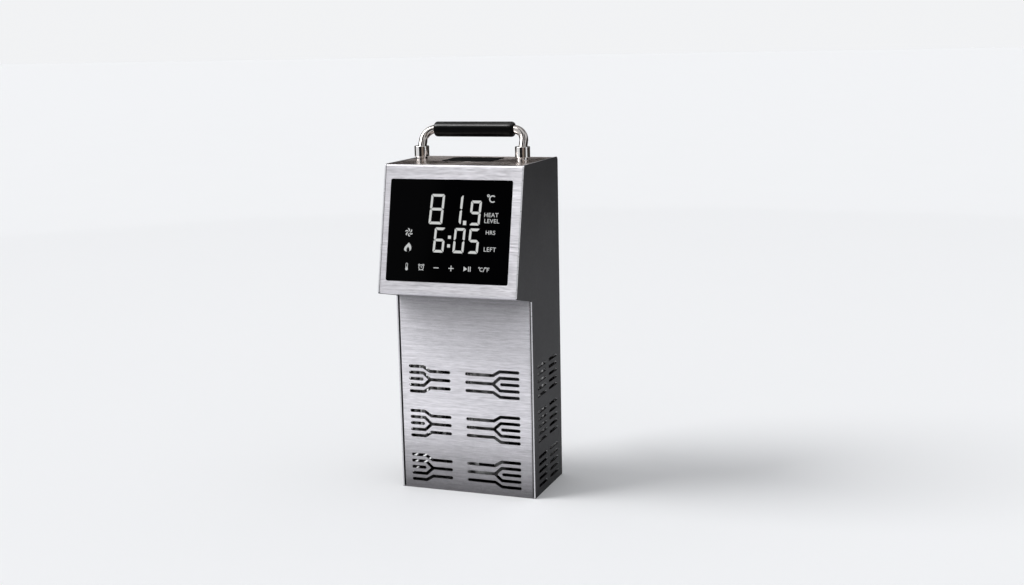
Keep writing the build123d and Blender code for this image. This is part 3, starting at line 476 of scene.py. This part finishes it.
finishes = {
    "brushed_steel": brushedSteel("brushedSteel", brushed["colour"]),
    # side plates: steel darkened with painted shade
    "dark_steel": paintedShadePlateSteel(),
    "plain_steel": plainSteel(),
    "chrome": polishedChrome("polishedChrome", rgb(0.74, 0.725, 0.71), 0.055),
    "grip": gripLeather(),
    "black_glass": blackGlass(),
    "black_plastic": mouldedPlastic("blackPlastic", rgb(0.022, 0.022, 0.024), 0.48),
    "board": circuitBoard(),
    "rubber": mouldedPlastic("softRubber", rgb(0.018, 0.018, 0.018), 0.75),
    "brass": metalStock("turnedBrass", rgb(0.66, 0.48, 0.21), 0.3, (900, 900, 2400)),
    "aluminium": metalStock("drawnAluminium", rgb(0.70, 0.70, 0.71), 0.38, (1800, 1800, 60)),
    "motor_paint": mouldedPlastic("motorPaint", rgb(0.05, 0.055, 0.062), 0.42),
}
for subpart in frame["record"]["subparts"]:
    for materialSlot in nodes[subpart["node"]].material_slots:
        materialSlot.material = finishes[subpart["material_slot"]]
ownFinishes = {
    "head_wrap": headSteel(),
    # the rod's darker, brownish chrome colour is painted reflection of dark, brownish surroundings
    "handle_rod": polishedChrome("shadedRodChrome", rgb(0.50, 0.47, 0.45), 0.11),
}
for node, finish in ownFinishes.items():
    for materialSlot in nodes[node].material_slots:
        materialSlot.material = finish
print("finishes:", len(finishes) + len(ownFinishes))


# Pieces made here
def addPiece(name, mesh, finish, body, smooth=False):
    bmesh.ops.recalc_face_normals(mesh, faces=mesh.faces)
    data = bpy.data.meshes.new(name)
    mesh.to_mesh(data)
    mesh.free()
    data.materials.append(finish)
    for face in data.polygons:
        face.use_smooth = smooth
    piece = bpy.data.objects.new(name, data)
    bpy.context.scene.collection.objects.link(piece)
    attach(piece, body)
    return piece


def addPrism(mesh, outline, place, low, high):  # flat shape with a small thickness, on a plane
    rings = []
    for height in (low, high):
        spots = [place @ Vector((x * millimetre, y * millimetre, height)) for x, y in outline]
        rings.append([mesh.verts.new(spot) for spot in spots])
    bottom, top = rings
    mesh.faces.new(top)
    mesh.faces.new(reversed(bottom))
    for here in range(len(outline)):
        after = (here + 1) % len(outline)
        mesh.faces.new((bottom[here], bottom[after], top[after], top[here]))


def addTube(mesh, rings, closed=False):  # skin over rings of points, with capped or joined ends
    loops = [[mesh.verts.new(spot) for spot in ring] for ring in rings]
    following = loops[1:] + loops[:1] if closed else loops[1:]
    for first, second in zip(loops, following):
        for here in range(len(first)):
            after = (here + 1) % len(first)
            mesh.faces.new((first[here], first[after], second[after], second[here]))
    if not closed:
        mesh.faces.new(reversed(loops[0]))
        mesh.faces.new(loops[-1])


# Flat shapes, in millimetres
def bar(centre, width, height):
    x, y = centre
    corners = ((-1, -1), (1, -1), (1, 1), (-1, 1))
    return [(x + side * width / 2, y + level * height / 2) for side, level in corners]


def stroke(start, end, width):  # straight line with a width
    run = Vector(end) - Vector(start)
    side = Vector((-run.y, run.x)).normalized() * width / 2
    spots = (Vector(start) + side, Vector(start) - side, Vector(end) - side, Vector(end) + side)
    return [tuple(spot) for spot in spots]


def arcStroke(centre, radius, width, start, end, steps=14):  # part of a ring, angles in degrees
    turns = [radians(start + (end - start) * step / steps) for step in range(steps + 1)]
    outer = [(radius + width / 2, turn) for turn in turns]
    inner = [(radius - width / 2, turn) for turn in reversed(turns)]
    return [(centre[0] + r * cos(turn), centre[1] + r * sin(turn)) for r, turn in outer + inner]


def ringStrokes(centre, radius, width, hairline=0.2):  # two halves, kept apart by a hairline
    halves = ((hairline, 180 - hairline), (180 + hairline, 360 - hairline))
    return [arcStroke(centre, radius, width, *half) for half in halves]


def disc(centre, radius, steps=24):
    turns = [2 * pi * step / steps for step in range(steps)]
    return [(centre[0] + radius * cos(turn), centre[1] + radius * sin(turn)) for turn in turns]


def moved(outlines, centre):
    return [[(x + centre[0], y + centre[1]) for x, y in outline] for outline in outlines]


# Seven-segment figures: a top, b and c right, d bottom, e and f left, g middle
litSegments = {"0": "abcdef", "1": "bc", "5": "acdfg", "6": "acdefg", "8": "abcdefg", "9": "abcdfg"}
segments = {
    "stroke": 2.8,
    "upright": 0.9,  # upright strokes, as a share of the level ones
    "point": 0.3,  # how far the strokes are pointed at mid height
    "tip": 0.35,  # where the middle stroke's points lie
    "gap": 0.32,
    "bevel": 1.5,
    "lean": 3.2,
}


def segmentOutlines(figure, centre, width, height):
    across, up = width / 2, height / 2
    thick, gap, bevel = segments["stroke"], segments["gap"], segments["bevel"]
    upright, point, tip = [thick * segments[share] for share in ("upright", "point", "tip")]
    split = ((bevel + gap) / 2, (bevel - gap) / 2)  # where the mitre meets the bevelled corner
    top = [
        (bevel - across, up), (split[0] - across, up - split[1]), (thick + gap - across, up - thick),
        (across - thick - gap, up - thick), (across - split[0], up - split[1]), (across - bevel, up),
    ]
    right = [
        (across, up - bevel), (across - split[1], up - split[0]),
        (across - upright, up - thick - gap), (across - upright, thick / 2 + gap),
        (across - point, gap), (across, gap + point),
    ]
    middle = [
        (tip - across, 0), (thick + gap - across, thick / 2),
        (across - thick - gap, thick / 2), (across - tip, 0),
        (across - thick - gap, -thick / 2), (thick + gap - across, -thick / 2),
    ]
    shapes = {
        "a": top,
        "b": right,
        "c": [(x, -y) for x, y in right],
        "d": [(x, -y) for x, y in top],
        "e": [(-x, -y) for x, y in right],
        "f": [(-x, y) for x, y in right],
        "g": middle,
    }
    slope = tan(radians(segments["lean"]))
    leaning = [[(x + slope * y, y) for x, y in shapes[name]] for name in litSegments[figure]]
    return moved(leaning, centre)


# Marks: line widths in millimetres, the other measures as shares of a mark's size
marks = {"fine": 0.5, "line": 0.7, "bold": 0.95}
fan = {"blades": 6, "steps": 6, "hub": 0.22, "sweep": 0.75, "blade": 0.27, "tip": 0.12, "swell": 0.8}


def fanMark(radius):
    outlines = []
    for blade in range(fan["blades"]):
        edges = ([], [])
        for step in range(fan["steps"] + 1):
            share = step / fan["steps"]
            reach = radius * (fan["hub"] + (1 - fan["hub"]) * share)
            middle = 2 * pi * blade / fan["blades"] + fan["sweep"] * share
            half = fan["blade"] * sin(pi * (fan["tip"] + (1 - 2 * fan["tip"]) * share)) ** fan["swell"]
            for edge, side in zip(edges, (-1, 1)):
                edge.append((reach * cos(middle + side * half), reach * sin(middle + side * half)))
        outlines.append(edges[0] + edges[1][::-1])
    return outlines


flame = {
    "belly": 0.65,
    "taper": 1.1,
    "hollow": (0.46, 0.56),  # width and height of the dark middle
    "hollowDrop": 0.22,
    "sway": 0.09,
    "hairline": 0.02,  # keeps the halves apart
}


def teardrop(width, height, steps=22):  # tip up, from the left of the foot over the tip to the right
    turns = [2 * pi * step / steps for step in range(1, steps)]
    belly = [-width * flame["belly"] * sin(turn) for turn in turns]
    taper = [abs(cos(turn / 2)) ** flame["taper"] for turn in turns]
    return [(x * share, -height / 2 * cos(turn)) for x, share, turn in zip(belly, taper, turns)]


def flameMark(width, height):
    outer = teardrop(width, height)
    across, up = flame["hollow"]
    inner = [(x * across, y * up - height * flame["hollowDrop"]) for x, y in outer]
    sway = [(x + flame["sway"] * width * sin(pi * y / height), y) for x, y in outer]
    half = len(outer) // 2
    left = sway[:half + 1] + inner[half::-1]
    right = sway[half:] + inner[:half - 1:-1]
    return [left] + moved([right], (flame["hairline"], 0))


thermometer = {"bulb": 0.2, "stem": 0.13, "reading": 0.1, "overlap": 4}  # overlap in degrees


def thermometerMark(height):
    bulb, stem = height * thermometer["bulb"], height * thermometer["stem"]
    foot = bulb - height / 2
    top = height / 2 - stem
    reading = top * thermometer["reading"]
    overlap = thermometer["overlap"]
    return [
        disc((0, foot), bulb),
        bar((-stem, (foot + top) / 2), marks["fine"], top - foot),
        bar((stem, (foot + top) / 2), marks["fine"], top - foot),
        bar((0, (foot + reading) / 2), marks["fine"], reading - foot),
        arcStroke((0, top), stem, marks["fine"], -overlap, 180 + overlap),
    ]


clock = {
    "minute": (0.28, 0.62),  # middle and length of the upright hand
    "hour": 0.45,
    "bells": 0.86,
    "bellRadius": 0.32,
    "feet": ((0.6, -0.9), (1, -1.2)),
}


def clockMark(radius):
    line = marks["line"]
    middle, length = clock["minute"]
    outlines = ringStrokes((0, 0), radius, line)
    outlines.append(bar((0, radius * middle), line, radius * length))
    outlines.append(stroke((0, 0), (radius * clock["hour"], 0), line))
    for side in (-1, 1):
        bell = (side * radius * clock["bells"], radius * clock["bells"])
        tilt = 90 - side * 45
        outlines.append(arcStroke(bell, radius * clock["bellRadius"], line, tilt - 90, tilt + 90))
        foot = [(side * radius * x, radius * y) for x, y in clock["feet"]]
        outlines.append(stroke(*foot, line))
    return outlines


def plusMark(size):
    line = marks["bold"]
    upright = (size - line) / 2
    arms = [bar((0, side * (line + upright) / 2), line, upright) for side in (-1, 1)]
    return [bar((0, 0), size, line)] + arms


play = {"triangle": (-4.0, 0.2), "bars": (1.6, 3.6)}  # millimetres across


def playMark(height):
    back, tip = play["triangle"]
    triangle = [(back, -height / 2), (tip, 0), (back, height / 2)]
    return [triangle] + [bar((across, 0), marks["bold"], height) for across in play["bars"]]


degree = {
    "ring": (-0.62, 0.42),
    "ringRadius": 0.13,
    "ringLine": 0.75,
    "bowl": 0.42,  # radius of the C
    "mouth": 48,  # half its opening, in degrees
    "stem": (-0.25, 0.95),  # place and height of the F's upright
    "arms": (((0.06, 0.42), 0.5), ((0, 0), 0.4)),  # middle and length of its arms
}


def degreeMark(letter, size, width):  # a small ring, then C or F
    ring = [size * share for share in degree["ring"]]
    outlines = ringStrokes(ring, size * degree["ringRadius"], width * degree["ringLine"])
    if letter == "C":
        mouth = degree["mouth"]
        outlines.append(arcStroke((0, 0), size * degree["bowl"], width, mouth, 360 - mouth))
    else:
        across, height = degree["stem"]
        outlines.append(bar((size * across, 0), width, size * height))
        for (x, y), length in degree["arms"]:
            outlines.append(bar((size * x, size * y), size * length, width))
    return outlines


unit = {"first": -0.62, "slash": ((-0.16, -0.55), (0.2, 0.55)), "second": 1.1}


def unitMark(size):
    line = marks["line"]
    slash = stroke(*[(size * x, size * y) for x, y in unit["slash"]], line)
    first = moved(degreeMark("C", size, line), (size * unit["first"], 0))
    return first + [slash] + moved(degreeMark("F", size, line), (size * unit["second"], 0))


# What the display shows, in millimetres from the middle of the glass
display = {
    "lean": radians(12.5),
    # figure, centre, width, height
    "figures": {
        "upper": [
            ("8", (-14.9, 23.3), 15.8, 32.4),
            ("1", (6.4, 23.3), 15.8, 32.4),
            ("9", (29.6, 20.2), 12.2, 26.4),
        ],
        "lower": [
            ("6", (-10.2, -9.6), 12.6, 26.8),
            ("0", (12.7, -9.6), 12.6, 26.8),
            ("5", (29.4, -9.6), 12.0, 26.8),
        ],
    },
    "points": [((17.9, 9.4), 3.7, 4.6), ((1.5, -6.3), 3.3, 3.4), ((1.0, -15.5), 3.3, 3.4)],
    # outlines, centre
    "signs": {
        "fan": (fanMark(4.5), (-45.9, -2.4)),
        "flame": (flameMark(8.4, 9.8), (-46.0, -18.2)),
        "degree": (degreeMark("C", 8.0, 1.3), (48.3, 35.4)),
    },
    # outlines, place along the row
    "keys": {
        "thermometer": (thermometerMark(7.8), -46.4),
        "clock": (clockMark(2.7), -29.4),
        "minus": ([bar((0, 0), 5.8, marks["bold"])], -12.0),
        "plus": (plusMark(6.0), 5.2),
        "play": (playMark(5.2), 23.6),
        "unit": (unitMark(4.4), 42.6),
    },
    "keyRow": -39.4,
    # words, centre, height
    "legends": [
        ("HEAT", (47.6, 18.2), 4.7),
        ("LEVEL", (48.4, 11.8), 4.7),
        ("HRS", (47.8, -0.4), 4.5),
        ("LEFT", (48.0, -18.2), 4.9),
    ],
}
inlay = {"low": -0.05 * millimetre, "high": 0.08 * millimetre}  # marks, from the face that carries them
flatFace = {"facing": 0.98, "depth": 0.2 * millimetre}  # how closely a face's pieces share its plane


def facePlane(node, toward):  # plane of the face that looks that way: x across, y up the face, z out
    data = nodes[node].data
    sight = Vector(toward).normalized()
    facing = [patch for patch in data.polygons if patch.normal.dot(sight) > flatFace["facing"]]
    largest = max(facing, key=lambda patch: patch.area)
    out = largest.normal.normalized()
    up = (Vector((0, 0, 1)) - out * out.z).normalized()
    across = up.cross(out)
    heights = [abs((patch.center - largest.center).dot(out)) for patch in facing]
    level = [patch for patch, height in zip(facing, heights) if height < flatFace["depth"]]
    spots = [data.vertices[index].co for patch in level for index in patch.vertices]
    middle = [
        (min(spot.dot(axis) for spot in spots) + max(spot.dot(axis) for spot in spots)) / 2
        for axis in (across, up, out)
    ]
    origin = middle[0] * across + middle[1] * up + middle[2] * out
    turn = Matrix((across, up, out)).transposed()
    return Matrix.Translation(origin) @ turn.to_4x4()


glassPlane = facePlane("display_glass", (0, -cos(display["lean"]), sin(display["lean"])))
litWhite = litMark("litWhite", rgb(0.56, 0.57, 0.56), 1.0)
dimWhite = litMark("dimWhite", rgb(0.50, 0.51, 0.51), 1.0)


def addMarks(name, outlines, finish, plane=glassPlane, body="case"):
    mesh = bmesh.new()
    for outline in outlines:
        addPrism(mesh, outline, plane, inlay["low"], inlay["high"])
    return addPiece(name, mesh, finish, body)


for row, figures in display["figures"].items():
    outlines = [outline for figure in figures for outline in segmentOutlines(*figure)]
    addMarks("display_" + row + "_figures", outlines, litWhite)
addMarks("display_points", [bar(*point) for point in display["points"]], litWhite)
for sign, (outlines, centre) in display["signs"].items():
    addMarks("display_" + sign + "_mark", moved(outlines, centre), dimWhite)
for key, (outlines, across) in display["keys"].items():
    addMarks("display_" + key + "_key", moved(outlines, (across, display["keyRow"])), dimWhite)
lettering = {
    "size": 1.35,  # type size, as a multiple of the capitals
    "spacing": 1.06,
    "weight": 0.03 * millimetre,
    "curveSteps": 3,
    "weld": 0.0001 * millimetre,
}


def addLegend(words, centre, height, index):
    curve = bpy.data.curves.new("legendCurve", "FONT")
    curve.body = words
    curve.size = height * millimetre * lettering["size"]
    curve.align_x = curve.align_y = "CENTER"
    curve.extrude = inlay["high"]
    curve.space_character = lettering["spacing"]
    curve.offset = lettering["weight"]
    curve.resolution_u = lettering["curveSteps"]
    holder = bpy.data.objects.new("legendHolder", curve)
    bpy.context.scene.collection.objects.link(holder)
    bpy.context.view_layer.update()
    evaluated = holder.evaluated_get(bpy.context.evaluated_depsgraph_get())
    data = bpy.data.meshes.new_from_object(evaluated)
    bpy.data.objects.remove(holder)
    data.transform(glassPlane @ Matrix.Translation((centre[0] * millimetre, centre[1] * millimetre, 0)))
    mesh = bmesh.new()
    mesh.from_mesh(data)
    bmesh.ops.remove_doubles(mesh, verts=mesh.verts, dist=lettering["weld"])
    return addPiece("display_legend_%d" % index, mesh, dimWhite, "case")


for index, legend in enumerate(display["legends"]):
    addLegend(*legend, index)
print("display marks done")


# Handle sleeve, with a slight ripple in its skin
sleeve = {
    "boreGap": 0.1 * millimetre,
    "endRound": 3.4 * millimetre,
    "endSteps": 6,
    "lengthSteps": 24,
    "sides": 64,
    "ripple": 0.06 * millimetre,
    "rippleAlong": 120,  # waves per metre
    "rippleAround": 1.6,
}


def addSleeve():
    low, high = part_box("handle_grip")
    middle = (low + high) / 2
    radius = (high.z - low.z) / 2
    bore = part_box("handle_rod")[1].z - middle.z + sleeve["boreGap"]
    half = (high.x - low.x) / 2
    rounded, endSteps, lengthSteps = sleeve["endRound"], sleeve["endSteps"], sleeve["lengthSteps"]
    profile = [(-half, bore)]  # distance along and radius, from the left end
    for step in range(endSteps + 1):
        turn = pi / 2 * step / endSteps
        profile.append((-half + rounded * (1 - cos(turn)), radius - rounded + rounded * sin(turn)))
    leftEnd = list(profile)
    for step in range(1, lengthSteps):
        profile.append(((step / lengthSteps * 2 - 1) * (half - rounded), radius))
    profile += [(-x, r) for x, r in reversed(leftEnd)]
    along, around = sleeve["rippleAlong"], sleeve["rippleAround"]
    rings = []
    for x, r in profile:
        ring = []
        for side in range(sleeve["sides"]):
            turn = 2 * pi * side / sleeve["sides"]
            spot = Vector((x * along, cos(turn) * around, sin(turn) * around))
            lift = noise.noise(spot) * sleeve["ripple"]
            reach = r - (sleeve["ripple"] + abs(lift) if r > bore else 0)
            ring.append(middle + Vector((x, reach * cos(turn), reach * sin(turn))))
        rings.append(ring)
    mesh = bmesh.new()
    addTube(mesh, rings, closed=True)
    piece = addPiece("grip_sleeve", mesh, finishes["grip"], "case", smooth=True)
    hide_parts("handle_grip")


addSleeve()
print("handle sleeve done")


# On and off marks of the rocker, one on each half of its face: where that half looks, outlines
rockerMarks = {
    "on": ((0, 0.999, -0.048), [bar((0, 0), 0.9, 4.6)]),
    "off": ((0, 0.935, 0.354), ringStrokes((0, 0), 2.1, 0.8)),
}
printWhite = mouldedPlastic("printWhite", rgb(0.62, 0.62, 0.61), 0.5)
for mark, (toward, outlines) in rockerMarks.items():
    plane = facePlane("switch_rocker", toward)
    addMarks("rocker_" + mark + "_mark", outlines, printWhite, plane, "rocker")
print("rocker marks done")


# Bare enamel plate on top of the head, in millimetres
topPlate = {
    "width": 60,
    "depth": 44,
    "corner": 3,
    "centre": (-4, 4),
    "layers": ((-0.1, 0), (0.2, 0), (0.5, 0.6)),  # height, and how far its outline is drawn in
}


def roundedOutline(width, depth, corner, steps=6):
    outline = []
    for quarter, (side, level) in enumerate(((1, 1), (-1, 1), (-1, -1), (1, -1))):
        for step in range(steps + 1):
            turn = pi / 2 * (quarter + step / steps)
            outline.append((
                side * (width / 2 - corner) + corner * cos(turn),
                level * (depth / 2 - corner) + corner * sin(turn),
            ))
    return outline


def addTopPlate():
    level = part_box("handle_ferrule_left")[0].z / millimetre
    across, back = topPlate["centre"]
    width, depth, corner = topPlate["width"], topPlate["depth"], topPlate["corner"]
    rings = []
    for height, inset in topPlate["layers"]:
        outline = roundedOutline(width - 2 * inset, depth - 2 * inset, corner - inset)
        spots = [(x + across, y + back, level + height) for x, y in outline]
        rings.append([Vector(spot) * millimetre for spot in spots])
    mesh = bmesh.new()
    addTube(mesh, rings)
    enamel = mouldedPlastic("plateEnamel", rgb(0.004, 0.004, 0.004), 0.6, 0.02)
    addPiece("top_plate", mesh, enamel, "case")


addTopPlate()
print("top plate done")


# Rolled thread of the clamp screw
thread = {
    "pitch": 1.5 * millimetre,
    "depth": 0.85 * millimetre,
    "crest": 1.4,  # slope of the rounding at the crest
    "chamfer": 1.2 * millimetre,
    "inset": 0.02 * millimetre,
    "sides": 32,
    "turnSteps": 8,
}


def addThread():
    low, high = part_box("clamp_screw")
    middle = (low + high) / 2
    radius = (high.z - low.z) / 2 - thread["inset"]
    length = high.y - low.y
    rows = round(length / thread["pitch"] * thread["turnSteps"])
    rings = []
    for row in range(rows + 1):
        along = length * row / rows
        ring = []
        for side in range(thread["sides"]):
            share = side / thread["sides"]
            phase = (along / thread["pitch"] - share) % 1
            flank = 1 - abs(2 * phase - 1)  # 0 at the crest, 1 at the root
            groove = thread["depth"] * flank * min(1, thread["crest"] * flank)
            end = max(0, thread["chamfer"] - min(along, length - along))
            reach = radius - max(groove, end)
            turn = 2 * pi * share
            spot = (middle.x + reach * sin(turn), low.y + along, middle.z + reach * cos(turn))
            ring.append(Vector(spot))
        rings.append(ring)
    mesh = bmesh.new()
    addTube(mesh, rings)
    steel = finishes["plain_steel"]
    piece = addPiece("clamp_thread", mesh, steel, "clamp_spindle", smooth=True)
    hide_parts("clamp_screw")


addThread()
print("clamp thread done")


# Studio
studio = {
    "background": rgb(0.885, 0.892, 0.905),
    "floor": rgb(0.885, 0.892, 0.905),
    "ambient": 0.66,
    # name, where the light comes from, width of the source in degrees, watts per square metre
    "lamps": [("keyLamp", (-0.95, -0.45, 0.85), 32, 2.1)],
    # boards that only reflections see: name, degrees round from the front, heights, colour, glow
    "boards": [
        ("frontBoard", (-24, 16), (0.01, 1.5), rgb(0.012, 0.012, 0.013), 0),
        ("sideBoard", (16, 46), (0.01, 1.25), rgb(0.30, 0.24, 0.20), 0),
        ("cornerBoard", (46, 70), (0.01, 1.25), rgb(0.015, 0.014, 0.013), 0),
        ("backBoard", (94, 277), (0.01, 1.5), rgb(0.034, 0.029, 0.026), 0),
        ("upperBoard", (-24, 16), (2.1, 5.6), rgb(0.03, 0.026, 0.024), 0),
        ("upperCornerBoard", (40, 75), (2.1, 5.6), rgb(0.03, 0.026, 0.024), 0),
        ("upperBackBoard", (120, 262), (2.6, 6.0), rgb(0.03, 0.026, 0.024), 0),
        ("softBox", (-58, -28), (3.6, 5.3), rgb(1, 1, 1), 10),
    ],
    "boardReach": 2.6,
    "boardSteps": 12,
    "floorReach": 40,
    "roughness": 0.75,
    "shine": 0.1,
    "mottle": (3, 3, 3),
}


def plainFinish(name, colour, variation, glow=0):
    shader = newFinish(name)
    mottle = shader.cloud(studio["mottle"], 3)
    return shader.surface(
        Base_Color=shader.shade(colour, 1 + variation * mottle),
        Roughness=studio["roughness"],
        Specular_IOR_Level=studio["shine"],
        Emission_Color=rgb(1, 1, 1),
        Emission_Strength=glow,
    )


def addStage(name, mesh, finish):
    data = bpy.data.meshes.new(name)
    mesh.to_mesh(data)
    mesh.free()
    data.materials.append(finish)
    piece = bpy.data.objects.new(name, data)
    bpy.context.scene.collection.objects.link(piece)
    return piece


def addFloor():
    mesh = bmesh.new()
    bmesh.ops.create_grid(mesh, x_segments=4, y_segments=4, size=studio["floorReach"])
    addStage("floor", mesh, plainFinish("paleFloor", studio["floor"], 0.01))


def addBoard(name, turns, heights, colour, glow):
    mesh = bmesh.new()
    reach, steps = studio["boardReach"], studio["boardSteps"]
    columns = []
    for step in range(steps + 1):
        turn = radians(turns[0] + (turns[1] - turns[0]) * step / steps)
        columns.append([mesh.verts.new((reach * sin(turn), -reach * cos(turn), z)) for z in heights])
    for first, second in zip(columns, columns[1:]):
        mesh.faces.new((first[0], second[0], second[1], first[1]))
    board = addStage(name, mesh, plainFinish(name + "Finish", colour, 0.2, glow))
    board.visible_camera = board.visible_diffuse = board.visible_shadow = False


def addLamp(name, source, spread, power):
    lamp = bpy.data.lights.new(name, "SUN")
    lamp.angle = radians(spread)
    lamp.energy = power
    holder = bpy.data.objects.new(name, lamp)
    holder.rotation_euler = Vector(source).to_track_quat("Z", "Y").to_euler()
    bpy.context.scene.collection.objects.link(holder)


def lightWorld():
    world = bpy.data.worlds.new("studio")
    bpy.context.scene.world = world
    shader = Shader(world)
    seen = shader.node("LightPath", out="Is Camera Ray")
    for ray in ("Is Glossy Ray", "Is Transmission Ray"):
        seen = seen + shader.node("LightPath", out=ray)
    seen = shader.node("Math", {"operation": "MINIMUM"}, {0: seen, 1: 1})
    strength = studio["ambient"] + seen * (1 - studio["ambient"])
    sky = shader.node("Background", sockets={"Color": studio["background"], "Strength": strength})
    shader.node("OutputWorld", sockets={0: sky})


addFloor()
for board in studio["boards"]:
    addBoard(*board)
for lamp in studio["lamps"]:
    addLamp(*lamp)
lightWorld()

# Camera at the photograph's viewing angle
view = {
    "aim": Vector((0.0505, -0.0288, 0.2274)),  # what lies at the middle of the picture
    "distance": 1.5,
    "turn": radians(20.35),
    "rise": radians(10.45),
    "roll": radians(1.2),
    "focalPixels": 1371,
    "pictureWidth": 1024,
    "sensor": 36,
}


def addCamera():
    turn, rise, roll = view["turn"], view["rise"], view["roll"]
    ahead = Vector((-sin(turn) * cos(rise), cos(turn) * cos(rise), -sin(rise)))
    level = Vector((cos(turn), sin(turn), 0))
    upright = level.cross(ahead)
    right = cos(roll) * level - sin(roll) * upright
    up = sin(roll) * level + cos(roll) * upright
    lens = bpy.data.cameras.new("camera")
    lens.sensor_width = view["sensor"]
    lens.lens = view["focalPixels"] * view["sensor"] / view["pictureWidth"]
    camera = bpy.data.objects.new("camera", lens)
    axes = Matrix((right, up, -ahead)).transposed().to_4x4()
    camera.matrix_world = Matrix.Translation(view["aim"] - view["distance"] * ahead) @ axes
    bpy.context.scene.collection.objects.link(camera)
    bpy.context.scene.camera = camera


addCamera()
bpy.context.scene.view_settings.view_transform = "Standard"
print("studio and camera done")
